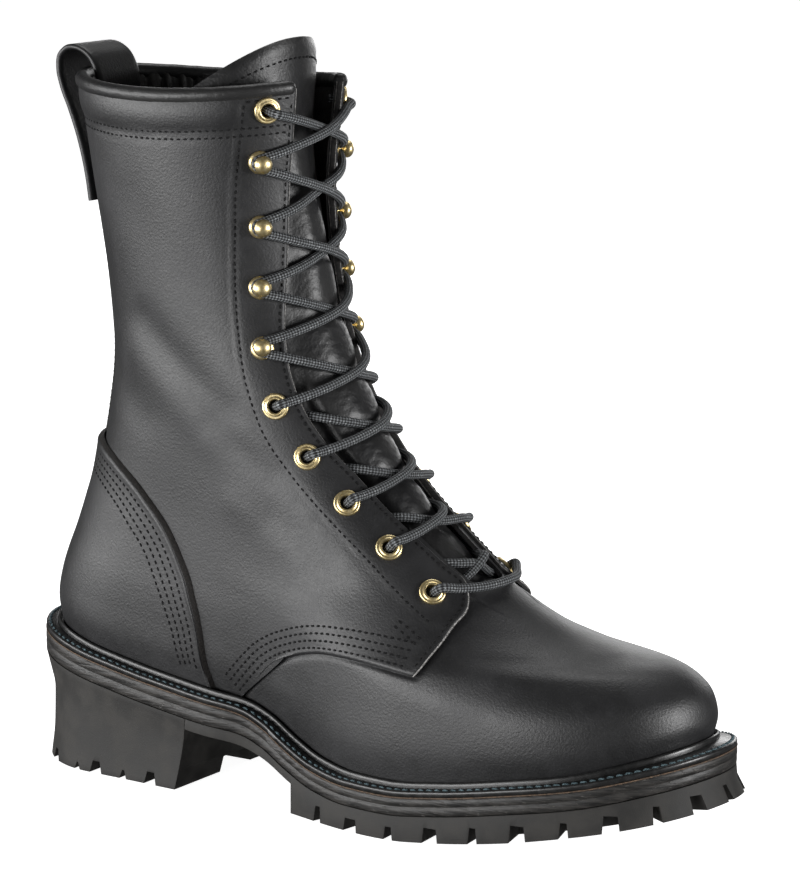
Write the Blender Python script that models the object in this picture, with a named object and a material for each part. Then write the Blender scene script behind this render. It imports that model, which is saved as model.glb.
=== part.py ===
"""Wildland fire boot for the right foot: a laced leather boot on a lug sole with a tall heel.

The boot is drawn with X from heel to toe, Y to the wearer's left (the inner side of this
foot) and Z up. Sizes are in millimetres and become metres where meshes are made. The upper
is one function of two coordinates, the girth line around the foot and the level from the
feather line to the collar. The sole, welt, insole, tongue, overlays and lace all follow it.
"""

import math

import bmesh
import bpy
import numpy as np
from mathutils import Vector

MM = 0.001
GAP = 0.3

# Leather thicknesses
WALL = 1.8
QUARTER_STEP = 1.2
OVERLAY = 1.4
OVERLAY_SEAT = 0.9

# Stations along the foot where the widths of a section are given
HEEL_X = 40.0
WAIST_X = 118.0
BALL_X = 192.0
TOE_SWING = 7.0
TOE_SWING_START = 150.0
TOE_SWING_END = 300.0

# Sections of the upper, one row a level from the feather line to the collar: the back and front
# points, half widths at heel, waist and ball (outer and inner side), the lengths of the round
# front and back ends, how far the row follows the feather line and its dip at mid length.
SECTION_COLUMNS = (
    "back_x", "back_z", "front_x", "front_z", "heel", "waist_out", "waist_in",
    "ball_out", "ball_in", "front_round", "back_round", "follow", "dip",
)
SECTIONS = (
    (9.0, 57.6, 298.0, 41.6, 30.0, 32.8, 25.8, 47.5, 45.0, 67.0, 33.0, 1.00, 0.0),
    (7.5, 68.0, 299.5, 51.0, 32.5, 34.8, 28.8, 49.5, 47.0, 70.0, 34.0, 0.85, 0.0),
    (9.0, 78.0, 295.0, 62.5, 33.0, 35.8, 30.8, 49.0, 46.5, 75.0, 35.0, 0.65, 0.0),
    (12.0, 87.5, 283.0, 71.5, 33.0, 36.3, 31.8, 48.0, 46.0, 100.0, 36.0, 0.48, 0.0),
    (16.0, 98.0, 261.0, 75.5, 32.5, 36.3, 32.8, 47.0, 45.0, 120.0, 37.0, 0.32, 0.0),
    (20.0, 110.0, 236.0, 81.5, 32.0, 36.3, 33.8, 46.0, 44.0, 120.0, 38.0, 0.18, 0.0),
    (25.0, 126.0, 210.0, 94.0, 32.0, 36.3, 34.8, 43.0, 42.0, 96.0, 40.0, 0.06, 0.0),
    (29.5, 147.0, 169.5, 126.0, 33.5, 36.8, 35.8, 41.0, 41.0, 62.0, 43.0, 0.0, 0.0),
    (32.2, 172.0, 147.0, 158.0, 35.3, 37.8, 36.8, 39.0, 39.0, 48.0, 46.0, 0.0, 0.0),
    (29.7, 205.0, 130.0, 195.0, 38.3, 39.3, 38.8, 40.0, 40.0, 46.0, 50.0, 0.0, 0.0),
    (23.2, 245.0, 123.0, 240.0, 41.8, 41.8, 41.8, 41.8, 41.8, 46.0, 52.0, 0.0, 0.0),
    (16.7, 283.0, 126.0, 285.0, 44.8, 44.8, 44.8, 44.8, 44.8, 48.0, 55.0, 0.0, 3.5),
)
COLLAR = len(SECTIONS) - 1
RISE_ABOVE_COLLAR = 40.0
END_EASE = 1.25

# Height of the feather line, where upper and welt meet, along the foot
FEATHER_LINE = (
    (9.0, 57.6), (28.0, 53.1), (46.0, 49.1), (65.0, 45.6), (90.0, 42.1), (112.0, 39.1), (126.0, 34.1),
    (140.0, 27.1), (155.0, 22.1), (172.0, 20.1), (190.0, 20.1), (210.0, 22.1), (240.0, 27.1),
    (265.0, 31.6), (285.0, 37.4), (298.0, 41.6),
)

# Sole layers, measured down from the feather line
WELT_THICK = 2.7
MIDSOLE_FORE = 7.0
MIDSOLE_HEEL = 8.4
OUTSOLE_BASE = 4.2
RIB_HEIGHT = 3.0

# Height of the tread along the forefoot: flat under the ball, then toe spring
TREAD_LINE = (
    (140.0, 0.0), (194.0, 0.0), (206.0, 0.9), (240.0, 5.4), (259.0, 8.8), (273.0, 11.6),
    (291.0, 15.6), (303.0, 18.6), (314.0, 21.5),
)
FIRST_LUG_X = 141.0
BREAST_TOP_X = 90.0
BREAST_BOTTOM_X = 85.5

# Throat, lacing and tongue
THROAT_FLOOR = 88.0
# Half the width of the throat by height: the two sides spread apart at the bend of the ankle
THROAT_WIDTHS = (
    (102.0, 14.5), (115.0, 17.2), (130.0, 19.2), (145.0, 23.5), (160.0, 26.0), (175.0, 25.5), (200.0, 20.8),
    (225.0, 17.2), (250.0, 15.7), (285.0, 16.5),
)
# Hooks and eyelets from the top down: height, distance from the front centre on the outer and inner side
HOOKS = ((255.9, 29.6, 34.0), (230.1, 29.3, 34.0), (206.2, 31.9, 35.0), (182.5, 36.9, 38.0))
EYELETS = (
    (276.4, 28.9, 30.0), (160.2, 41.2, 41.2), (141.0, 38.4, 38.0), (123.8, 35.7, 34.8), (107.9, 35.7, 33.0),
    (92.4, 36.8, 31.5),
)
EYELET_RADIUS = 5.2
EYELET_BORE = 2.6
HOLE_RADIUS = 3.5
LACE_RADIUS = 2.1

# Mesh fineness of the solids
COLUMNS = 44
UPPER_LEVELS = (0, 0.7, 1.4, 2.1, 2.9, 3.7, 4.6, 5.5, 6.2, 6.8, 7.4, 8.1, 9.0, 10.0, COLLAR)
HARDWARE_SIDES = 8
LACE_SIDES = 5

# How far cutters reach past the sides of the boot, past its floor and past its top
BEYOND_SIDES = 90.0
BELOW_FLOOR = -5.0
ABOVE_TOP = 330.0


# Curves

def smooth_curve(points, x):
    """Value at x of a smooth curve through a few (x, value) points that never overshoots them."""
    xs, ys = (np.array(values, float) for values in zip(*points))
    x = np.clip(np.asarray(x, float), xs[0], xs[-1])
    step = np.diff(xs)
    slope = np.diff(ys) / step
    tangent = np.zeros(len(xs))
    tangent[0], tangent[-1] = slope[0], slope[-1]
    for i in range(1, len(xs) - 1):
        if slope[i - 1] * slope[i] > 0:
            before = 2 * step[i] + step[i - 1]
            after = step[i] + 2 * step[i - 1]
            tangent[i] = (before + after) / (before / slope[i - 1] + after / slope[i])
    i = np.clip(np.searchsorted(xs, x) - 1, 0, len(step) - 1)
    return hermite((x - xs[i]) / step[i], ys[i], ys[i + 1], step[i] * tangent[i], step[i] * tangent[i + 1])


def hermite(t, start, end, start_slope, end_slope):
    return ((1 + 2 * t) * (1 - t) ** 2 * start + t * (1 - t) ** 2 * start_slope
            + t * t * (3 - 2 * t) * end + t * t * (t - 1) * end_slope)


def soft_step(x, start, end):
    t = np.clip((np.asarray(x, float) - start) / (end - start), 0, 1)
    return t * t * (3 - 2 * t)


def feather_height(x):
    return smooth_curve(FEATHER_LINE, x)


def tread_height(x):
    return smooth_curve(TREAD_LINE, x)


def throat_half(height):
    return float(smooth_curve(THROAT_WIDTHS, height))


# The upper as one function

def section(level):
    """The table's columns at a level, smooth between its rows."""
    rows = np.array(SECTIONS)
    tangents = np.gradient(rows, axis=0)
    i = int(min(max(math.floor(level), 0), COLLAR - 1))
    values = hermite(level - i, rows[i], rows[i + 1], tangents[i], tangents[i + 1])
    return dict(zip(SECTION_COLUMNS, values))


def round_end(distance, length):
    """Share of the full width at a distance from a round end: near an ellipse, but it runs out softly."""
    t = np.clip(distance / (END_EASE * length), 0, 1)
    return np.sqrt(1 - (1 - t) ** (2 * END_EASE))


def half_girth(level, side, count):
    """Evenly spaced points of a section from front centre to back centre; side -1 is the outer side."""
    row = section(min(level, COLLAR))
    share = (1 + np.cos(np.linspace(0, math.pi, 500))) / 2
    length = row["front_x"] - row["back_x"]
    x = row["back_x"] + length * share
    first, last = FEATHER_LINE[0], FEATHER_LINE[-1]
    straight = np.interp(x, (first[0], last[0]), (first[1], last[1]))
    z = row["back_z"] + (row["front_z"] - row["back_z"]) * share
    z = z + row["follow"] * (feather_height(x) - straight) - row["dip"] * 4 * share * (1 - share)
    z = z + max(level - COLLAR, 0) * RISE_ABOVE_COLLAR
    waist, ball = ("waist_out", "ball_out") if side < 0 else ("waist_in", "ball_in")
    width = row["heel"] + (row[waist] - row["heel"]) * soft_step(x, HEEL_X, WAIST_X)
    width = width + (row[ball] - row[waist]) * soft_step(x, WAIST_X, BALL_X)
    width = width * round_end((1 - share) * length, row["front_round"])
    width = width * round_end(share * length, row["back_round"])
    y = TOE_SWING * soft_step(x, TOE_SWING_START, TOE_SWING_END) + side * width
    points = np.stack([x, y, z], axis=1)
    run = np.concatenate([[0], np.cumsum(np.linalg.norm(np.diff(points, axis=0), axis=1))])
    wanted = np.linspace(0, run[-1], count)
    return np.stack([np.interp(wanted, run, points[:, k]) for k in range(3)], axis=1), run[-1]


class Upper:
    """Points and normals of the upper at a girth place u and a level.

    u runs from -1 (back centre) along the outer side to 0 (front centre) and along the inner
    side to 1 (back centre again). Levels past the collar rise straight up.
    """

    HALF = 120
    ROWS = 125
    TOP = COLLAR + 1.0

    def __init__(self):
        self.levels = np.linspace(0, self.TOP, self.ROWS)
        rows, self.girth = [], []
        for level in self.levels:
            outer, outer_run = half_girth(level, -1, self.HALF + 1)
            inner, inner_run = half_girth(level, 1, self.HALF + 1)
            rows.append(np.concatenate([outer[::-1], inner[1:]]))
            self.girth.append((outer_run, inner_run))
        self.points = np.array(rows)
        self.girth = np.array(self.girth)
        wrapped = np.concatenate([self.points[:, -2:-1], self.points, self.points[:, 1:2]], axis=1)
        around = wrapped[:, 2:] - wrapped[:, :-2]
        upward = np.gradient(self.points, axis=0)
        normals = np.cross(around, upward)
        normals[0, :, 2] = 0
        normals[self.levels >= COLLAR, :, 2] = 0
        self.normals = normals / np.linalg.norm(normals, axis=2, keepdims=True)

    def place(self, distance, level):
        """The girth place u that lies a signed distance from the front centre."""
        side = 0 if distance < 0 else 1
        return distance / np.interp(level, self.levels, self.girth[:, side])

    def blend(self, grid, u, level):
        column = np.clip((np.asarray(u, float) + 1) * self.HALF, 0, 2 * self.HALF - 1e-6)
        row = np.clip(np.asarray(level, float) / self.TOP * (self.ROWS - 1), 0, self.ROWS - 1 - 1e-6)
        j, i = column.astype(int), row.astype(int)
        s, t = (column - j)[..., None], (row - i)[..., None]
        low = grid[i, j] * (1 - s) + grid[i, j + 1] * s
        high = grid[i + 1, j] * (1 - s) + grid[i + 1, j + 1] * s
        return low * (1 - t) + high * t

    def at(self, u, level, offset=0.0):
        normal = self.blend(self.normals, u, level)
        normal = normal / np.linalg.norm(normal, axis=-1, keepdims=True)
        return self.blend(self.points, u, level) + normal * np.asarray(offset, float)[..., None]

    def level_at(self, distance, height):
        """The level at which the line a distance from the front centre reaches a height."""
        heights = [float(self.at(self.place(distance, v), v)[2]) for v in self.levels]
        return float(np.interp(height, heights, self.levels))

    def frame(self, distance, level, offset):
        """A point on the upper with its normal, for hardware."""
        u = self.place(distance, level)
        point = self.at(u, level, offset)
        return point, self.blend(self.normals, u, level)


UPPER = Upper()


BREAST_COLUMN = 14


def ring_places():
    """Girth places of the solids' columns, closer together round toe and heel.

    On both sides column BREAST_COLUMN lies at the heel breast.
    """
    t = np.linspace(0, 1, COLUMNS // 2 + 1)
    half = t - 0.05 * np.sin(2 * math.pi * t)
    sides = []
    for side in (-1, 1):
        u = side * np.linspace(0.02, 0.98, 400)
        breast = np.interp(-BREAST_TOP_X, -UPPER.at(u, 0.0)[:, 0], np.abs(u))
        sides.append(np.interp(half, (0, half[BREAST_COLUMN], 1), (0, breast, 1)))
    return np.concatenate([-sides[0], sides[1][-2:0:-1]])


PLACES = ring_places()
TOE_COLUMNS = [0] + list(range(1, BREAST_COLUMN + 1)) + list(range(-BREAST_COLUMN, 0))
HEEL_COLUMNS = list(range(COLUMNS // 2, BREAST_COLUMN - 1, -1))
HEEL_COLUMNS += list(range(-BREAST_COLUMN, -COLUMNS // 2, -1))


# Plan outline of the sole, as offsets from the feather line

def skin(x):
    """How far the quarters and the counter stand out from the base of the upper at the feather line."""
    return (QUARTER_STEP * (1 - soft_step(x, 100, 128))
            + (OVERLAY + OVERLAY_SEAT) * (1 - soft_step(x, 98, 118)))


def welt_width(x):
    return 7.3 + 2.0 * soft_step(x, 255, 298)


def sole_ring(offset):
    """The feather ring moved by offset(x) in plan; what moves inwards follows the feather line down."""
    base = UPPER.at(PLACES, 0.0)
    normal = UPPER.blend(UPPER.normals, PLACES, 0.0)
    out = np.broadcast_to(offset(base[:, 0]), len(base))
    ring = base + normal * out[:, None]
    ring[:, 2] = np.where(out < 0, feather_height(ring[:, 0]), ring[:, 2])
    return ring


def at_heights(ring, heights):
    moved = ring.copy()
    moved[:, 2] = heights
    return moved


def welt_edge(x):
    return skin(x) + welt_width(x)


def midsole_bottom(ring_height, x):
    thick = MIDSOLE_HEEL + (MIDSOLE_FORE - MIDSOLE_HEEL) * soft_step(x, 90, 150)
    return ring_height - WELT_THICK - 2 * GAP - thick


# Mesh helpers

def new_material(name, colour, roughness, metallic=0.0):
    material = bpy.data.materials.new(name)
    material.use_nodes = True
    shader = material.node_tree.nodes["Principled BSDF"]
    shader.inputs["Base Color"].default_value = (*colour, 1.0)
    shader.inputs["Roughness"].default_value = roughness
    shader.inputs["Metallic"].default_value = metallic
    return material


def add_object(name, verts, faces, material=None, smooth_angle=40.0):
    mesh = bpy.data.meshes.new(name)
    mesh.from_pydata([Vector(v) * MM for v in np.asarray(verts, float)], [], faces)
    body = bmesh.new()
    body.from_mesh(mesh)
    bmesh.ops.triangulate(body, faces=body.faces[:])
    bmesh.ops.recalc_face_normals(body, faces=body.faces[:])
    body.to_mesh(mesh)
    body.free()
    mesh.shade_smooth()
    mesh.set_sharp_from_angle(angle=math.radians(smooth_angle))
    item = bpy.data.objects.new(name, mesh)
    bpy.context.collection.objects.link(item)
    item.parent = BOOT
    if material:
        mesh.materials.append(material)
    else:
        item.hide_render = True
        item.display_type = "WIRE"
    return item


def boolean(item, other, operation):
    modifier = item.modifiers.new(other.name, "BOOLEAN")
    modifier.object = other
    modifier.operation = operation
    modifier.solver = "EXACT"


def strip_faces(rows, columns, wrap_rows=False, wrap_columns=True):
    """Quads of a grid of rows by columns points."""
    faces = []
    for i in range(rows if wrap_rows else rows - 1):
        for j in range(columns if wrap_columns else columns - 1):
            a, b = i * columns + j, i * columns + (j + 1) % columns
            up = ((i + 1) % rows) * columns
            faces.append((a, b, up + (j + 1) % columns, up + j))
    return faces


def ladder(first, count):
    """Cap of a ring that starts at a centre point: rungs from one side to the other.

    A ring with an even count ends at the opposite centre point, one with an odd count at a cross line.
    """
    half = count // 2
    rungs = half if count % 2 else half - 1
    faces = [(first, first + 1, first + count - 1)]
    for j in range(1, rungs):
        faces.append((first + j, first + j + 1, first + count - j - 1, first + count - j))
    if count % 2 == 0:
        faces.append((first + half - 1, first + half, first + half + 1))
    return faces


def stack(name, rings, material=None):
    """A closed solid lofted through rings, with a laddered cap at both ends."""
    rings = np.array(rings)
    rows, columns = rings.shape[:2]
    faces = strip_faces(rows, columns) + ladder(0, columns) + ladder((rows - 1) * columns, columns)
    return add_object(name, rings.reshape(-1, 3), faces, material)


def sheet(name, outer, inner, material):
    """A closed sheet between two grids of points of the same size."""
    rows, columns = outer.shape[:2]
    faces = strip_faces(rows, columns, wrap_columns=False)
    count = rows * columns
    faces += [tuple(count + k for k in reversed(face)) for face in faces]
    rim = [j for j in range(columns)]
    rim += [i * columns + columns - 1 for i in range(1, rows)]
    rim += [(rows - 1) * columns + j for j in range(columns - 2, -1, -1)]
    rim += [i * columns for i in range(rows - 2, 0, -1)]
    faces += [(a, b, count + b, count + a) for a, b in zip(rim, rim[1:] + rim[:1])]
    return add_object(name, np.concatenate([outer.reshape(-1, 3), inner.reshape(-1, 3)]), faces, material)


def prism(outline, low, high, axes):
    """A cutter: an outline in two axes extruded along the third, from low to high."""
    count = len(outline)
    along = 3 - sum(axes)
    verts = np.zeros((2 * count, 3))
    for level, start in ((low, 0), (high, count)):
        verts[start:start + count, axes[0]] = [p[0] for p in outline]
        verts[start:start + count, axes[1]] = [p[1] for p in outline]
        verts[start:start + count, along] = level
    faces = [(j, (j + 1) % count, count + (j + 1) % count, count + j) for j in range(count)]
    faces += [tuple(range(count)), tuple(range(2 * count - 1, count - 1, -1))]
    return verts, faces


def join(shapes):
    """Several (verts, faces) shapes as one mesh."""
    verts, faces, start = [], [], 0
    for shape_verts, shape_faces in shapes:
        verts.append(shape_verts)
        faces += [tuple(start + k for k in face) for face in shape_faces]
        start += len(shape_verts)
    return np.concatenate(verts), faces


def turned(profile, sides):
    """A ring or knob turned about Z from (radius, height) points; a zero radius closes an end."""
    verts, rows = [], []
    for radius, height in profile:
        if radius == 0:
            rows.append([len(verts)] * sides)
            verts.append((0, 0, height))
            continue
        rows.append([len(verts) + j for j in range(sides)])
        for j in range(sides):
            angle = 2 * math.pi * j / sides
            verts.append((radius * math.cos(angle), radius * math.sin(angle), height))
    pairs = list(zip(rows, rows[1:]))
    if profile[0][0] and profile[-1][0]:
        pairs.append((rows[-1], rows[0]))
    faces = []
    for low, high in pairs:
        for j in range(sides):
            corners = [low[j], low[(j + 1) % sides], high[(j + 1) % sides], high[j]]
            faces.append(tuple(dict.fromkeys(corners)))
    return np.array(verts, float), faces


def facing(verts, point, normal):
    """Turns a shape made about Z to stand on a point along a normal."""
    turn = Vector((0, 0, 1)).rotation_difference(Vector(normal)).to_matrix()
    return np.array([turn @ Vector(v) for v in verts]) + point


def tube(path, radius, sides):
    """A closed round tube along a path of points."""
    path = np.asarray(path, float)
    tangents = np.gradient(path, axis=0)
    rings = []
    for point, tangent in zip(path, tangents):
        across = np.cross(tangent, (0, 0, 1.0))
        across = across / np.linalg.norm(across)
        over = np.cross(across, tangent)
        over = over / np.linalg.norm(over)
        angles = 2 * math.pi * np.arange(sides) / sides
        rings.append(point + radius * (np.outer(np.cos(angles), across) + np.outer(np.sin(angles), over)))
    verts = np.concatenate(rings)
    faces = strip_faces(len(path), sides)
    faces += [tuple(range(sides)), tuple(len(verts) - 1 - k for k in range(sides))]
    return verts, faces


# Sole

def make_midsole():
    edge = sole_ring(welt_edge)
    top = edge[:, 2] - WELT_THICK - 2 * GAP
    bottom = midsole_bottom(edge[:, 2], edge[:, 0])
    stack("midsole", [at_heights(edge, top), at_heights(edge, bottom)], LEATHER_EDGE)


WELT_INNER = -4.0
INSOLE_EDGE = -4.6
INSOLE_RISE = 2.6

# Storm rib of the welt, one row a corner: distance out from the leather and rise above the feather line
STORM_RIB = ((3.6, -GAP), (3.1, RIB_HEIGHT - 0.4), (2.3, RIB_HEIGHT), (1.6, RIB_HEIGHT - 0.5), (0.8, -GAP))


def make_welt():
    """The flat welt all round with the storm rib that stands against the upper."""
    low = -GAP - WELT_THICK
    profile = [(lambda x: WELT_INNER, low), (welt_edge, low), (welt_edge, -GAP)]
    for out, rise in STORM_RIB:
        profile.append((lambda x, out=out: skin(x) + out, rise))
    profile.append((lambda x: WELT_INNER, -GAP))
    rings = []
    for offset, rise in profile:
        ring = sole_ring(offset)
        rings.append(at_heights(ring, ring[:, 2] + rise))
    verts = np.concatenate(rings)
    faces = strip_faces(len(rings), COLUMNS, wrap_rows=True)
    add_object("welt", verts, faces, WELT_LEATHER)


def make_insole():
    ring = sole_ring(lambda x: INSOLE_EDGE)
    top = at_heights(ring, ring[:, 2] + INSOLE_RISE)
    bottom = at_heights(ring, ring[:, 2] - WELT_THICK - GAP)
    stack("insole", [top, bottom], INSOLE)


# Heel block, one row a height: share of the way from seat to floor, how far sides and back stand out
HEEL_BLOCK = ((0.0, 0.0, 0.0), (0.12, -0.6, -1.6), (0.35, -1.2, -4.4), (0.7, -0.6, -4.6), (1.0, 0.6, -3.4))
HEEL_BACK_START = 4.0
HEEL_BACK_END = 40.0

# Tread of the heel: notches up its sides (place along the foot, width, height), a notch at the
# back and a channel in from the breast
SIDE_NOTCHES = ((18.0, 5.0, 4.5), (34.0, 3.0, 3.0), (44.0, 6.0, 5.0), (58.0, 3.5, 3.5), (72.0, 6.0, 5.0))
SIDE_NOTCH_INNER = 24.0
NOTCH_TAPER = 1.2
BACK_NOTCH_WIDTH = 6.0
BACK_NOTCH_HEIGHT = 4.5
BACK_NOTCH_REACH = 16.0
CHANNEL_WIDTH = 22.0
CHANNEL_HEIGHT = 6.5
CHANNEL_START = 52.0


def groove(centre, width, height):
    """Outline of a groove in the floor that narrows upwards."""
    half = width / 2
    return [(centre - half, BELOW_FLOOR), (centre + half, BELOW_FLOOR), (centre + half, 0),
            (centre + half - NOTCH_TAPER, height), (centre - half + NOTCH_TAPER, height), (centre - half, 0)]


def heel_tread():
    shapes = [
        prism(groove(0, CHANNEL_WIDTH, CHANNEL_HEIGHT), CHANNEL_START, BREAST_TOP_X + 5, (1, 2)),
        prism(groove(0, BACK_NOTCH_WIDTH, BACK_NOTCH_HEIGHT), -BACK_NOTCH_REACH, BACK_NOTCH_REACH, (1, 2)),
    ]
    for place, width, height in SIDE_NOTCHES:
        outline = groove(place, width, height)
        shapes.append(prism(outline, -BEYOND_SIDES, -SIDE_NOTCH_INNER, (0, 2)))
        shapes.append(prism(outline, SIDE_NOTCH_INNER, BEYOND_SIDES, (0, 2)))
    return shapes


def make_heel():
    """The heel block: full at the seat, hollow behind, flared again at the floor."""
    rings = []
    for share, side_out, back_out in HEEL_BLOCK:
        def offset(x, side_out=side_out, back_out=back_out):
            back = 1 - soft_step(x, HEEL_BACK_START, HEEL_BACK_END)
            return welt_edge(x) + side_out + (back_out - side_out) * back

        ring = sole_ring(offset)[HEEL_COLUMNS]
        top = midsole_bottom(ring[:, 2], ring[:, 0]) - GAP
        ring = at_heights(ring, top * (1 - share))
        lean = 1 - (1 - BREAST_BOTTOM_X / BREAST_TOP_X) * share
        ring[:, 0] = np.where(ring[:, 0] > 0, ring[:, 0] * lean, ring[:, 0])
        rings.append(ring)
    heel = stack("heel", rings, RUBBER)
    boolean(heel, add_object("heel_tread", *join(heel_tread())), "DIFFERENCE")


def lug_root(ring_height, x):
    return midsole_bottom(ring_height, x) - GAP - OUTSOLE_BASE


LUG_PITCH = 18.2
FIRST_NOTCH = 15.6
LUG_WIDTHS = (5.0, 7.8)
LUG_LEAN_BACK = 0.6
LUG_LEAN_FRONT = 1.8
LUG_NOTCH_LENGTH = 15.0
LUG_OVERRUN = 8.0
LUG_ROOT_OUT = 0.4
LUG_FLARE = 1.2
TOE_FLARE = 2.6
SHANK_OVERRUN = 8.0

# Chevron channels in the middle of the tread
CHEVRON_PITCH = 26.0
CHEVRON_END_X = 285.0
CHEVRON_HALF_WIDTH = 3.0
CHEVRON_POINT = 6.0
CHEVRON_REACH = 24.0
CHEVRON_REACH_AT_TOE = 16.0


def lug_edge(x):
    return welt_edge(x) + LUG_FLARE + TOE_FLARE * soft_step(x, 250, 300)


def make_outsole():
    """The forefoot sole: a thin tail to the heel, then lugs round the edge and down the middle."""
    top = sole_ring(welt_edge)[TOE_COLUMNS]
    root = sole_ring(lambda x: welt_edge(x) + LUG_ROOT_OUT)[TOE_COLUMNS]
    low = sole_ring(lug_edge)[TOE_COLUMNS]
    rings = [
        at_heights(top, midsole_bottom(top[:, 2], top[:, 0]) - GAP),
        at_heights(root, lug_root(root[:, 2], root[:, 0])),
        at_heights(low, tread_height(low[:, 0])),
    ]
    for ring in rings:
        ring[BREAST_COLUMN:BREAST_COLUMN + 2, 0] += GAP
    outsole = stack("outsole", rings, RUBBER)
    boolean(outsole, add_object("shank_space", *shank_space()), "DIFFERENCE")
    boolean(outsole, add_object("lug_notches", *join(lug_notches(rings[1], rings[2]))), "DIFFERENCE")
    boolean(outsole, add_object("lug_channels", *join(middle_channels())), "DIFFERENCE")


def shank_space():
    """The room under the arch, from the heel breast to the first lug."""
    start = BREAST_TOP_X - SHANK_OVERRUN
    xs = np.linspace(start, FIRST_LUG_X, 7)
    outline = [(x, float(lug_root(feather_height(x), x))) for x in xs]
    outline += [(FIRST_LUG_X + NOTCH_TAPER, BELOW_FLOOR), (start, BELOW_FLOOR)]
    return prism(outline, -BEYOND_SIDES, BEYOND_SIDES, (0, 2))


def lug_notches(root, floor):
    """Wedge notches between the edge lugs, wide and narrow in turn, square to the edge."""
    half = len(floor) // 2
    sides = (list(range(half, -1, -1)), list(range(half + 1, len(floor))) + [0])
    shapes = []
    for indices, toe_space in zip(sides, (0.0, LUG_PITCH / 2)):
        line = floor[indices]
        roots = root[indices]
        line = line[line[:, 0] > FIRST_LUG_X]
        roots = roots[-len(line):]
        run = np.concatenate([[0], np.cumsum(np.linalg.norm(np.diff(line[:, :2], axis=0), axis=1))])
        places = np.arange(FIRST_NOTCH, run[-1] - toe_space, LUG_PITCH)
        for k, place in enumerate(places):
            point = np.array([np.interp(place, run, line[:, i]) for i in range(3)])
            ahead = np.array([np.interp(place + 1, run, line[:, i]) for i in range(2)])
            ceiling = float(np.interp(place, run, roots[:, 2])) - GAP
            along = (ahead - point[:2]) / np.linalg.norm(ahead - point[:2])
            inward = np.array([-along[1], along[0]])
            if inward @ (np.array([FIRST_LUG_X, 0]) - point[:2]) < 0:
                inward = -inward
            shapes.append(wedge(point, along, inward, LUG_WIDTHS[k % 2], ceiling))
    return shapes


def wedge(point, along, inward, width, ceiling):
    """A notch cutter, wide at the floor and narrow at its ceiling."""
    low = point[2] + BELOW_FLOOR
    half = width / 2
    corners = ((-half, low), (half, low), (half - LUG_LEAN_FRONT, ceiling), (LUG_LEAN_BACK - half, ceiling))
    verts = []
    for depth in (-LUG_OVERRUN, LUG_NOTCH_LENGTH):
        for shift, height in corners:
            spot = point[:2] + inward * depth + along * shift
            verts.append((spot[0], spot[1], height))
    faces = [(0, 1, 2, 3), (7, 6, 5, 4), (0, 4, 5, 1), (1, 5, 6, 2), (2, 6, 7, 3), (3, 7, 4, 0)]
    return np.array(verts), faces


def middle_channels():
    """Cross channels in the middle of the tread, each a shallow chevron."""
    shapes = []
    half, point = CHEVRON_HALF_WIDTH, CHEVRON_POINT
    for x in np.arange(FIRST_LUG_X + LUG_PITCH, CHEVRON_END_X, CHEVRON_PITCH):
        centre = TOE_SWING * float(soft_step(x, TOE_SWING_START, TOE_SWING_END))
        toe_share = float(soft_step(x, 240, 290))
        reach = CHEVRON_REACH + (CHEVRON_REACH_AT_TOE - CHEVRON_REACH) * toe_share
        low = float(tread_height(x)) + BELOW_FLOOR
        high = float(lug_root(feather_height(x), x)) - 2 * GAP
        outline = [(x - half, centre - reach), (x + half, centre - reach), (x + half + point, centre),
                   (x + half, centre + reach), (x - half, centre + reach), (x - half + point, centre)]
        shapes.append(prism(outline, low, high, (0, 1)))
    return shapes


# Upper

def form(name, offset, drop=0.0, lift=0.0):
    """The upper as a filled form at an offset, its ends moved down and up by drop and lift."""
    rings = [UPPER.at(PLACES, float(level), offset) for level in UPPER_LEVELS]
    rings[0][:, 2] -= drop
    rings[-1][:, 2] += lift
    return stack(name, rings)


# Front and lower edge of the quarters in side view, and the rest of the outline that they fill
QUARTER_EDGE = (
    (212.0, 97.0), (208.0, 89.0), (204.5, 77.5), (198.0, 63.5), (183.0, 65.0), (166.0, 66.5), (149.0, 65.0),
    (134.0, 61.0), (121.0, 54.0), (112.0, 46.0), (106.0, 37.0), (103.0, 20.0),
)
QUARTER_BEHIND = ((-40.0, 20.0), (-40.0, ABOVE_TOP), (240.0, ABOVE_TOP), (240.0, 97.0))
QUARTER_OVERRUN = 0.15
INSIDE_OVERRUN = 12.0
THROAT_CUT = (70.0, 250.0)
THROAT_STEPS = 10
HOLE_PROFILE = ((0, -8.0), (HOLE_RADIUS, -8.0), (HOLE_RADIUS, 8.0), (0, 8.0))


def make_upper():
    """One hollow wall: vamp level, a step up to the quarters, open at collar, throat and underneath."""
    rings = [UPPER.at(PLACES, float(level)) for level in UPPER_LEVELS]
    upper = stack("upper", rings, LEATHER)
    quarters = form("quarters", QUARTER_STEP, drop=QUARTER_OVERRUN, lift=QUARTER_OVERRUN)
    outline = prism(QUARTER_EDGE + QUARTER_BEHIND, -BEYOND_SIDES, BEYOND_SIDES, (0, 2))
    boolean(quarters, add_object("quarter_outline", *outline), "INTERSECT")
    boolean(upper, quarters, "UNION")
    boolean(upper, form("inside", -WALL, drop=INSIDE_OVERRUN, lift=INSIDE_OVERRUN), "DIFFERENCE")
    boolean(upper, add_object("throat", *throat_cutter()), "DIFFERENCE")
    boolean(upper, add_object("eyelet_holes", *join(eyelet_holes())), "DIFFERENCE")


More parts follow.
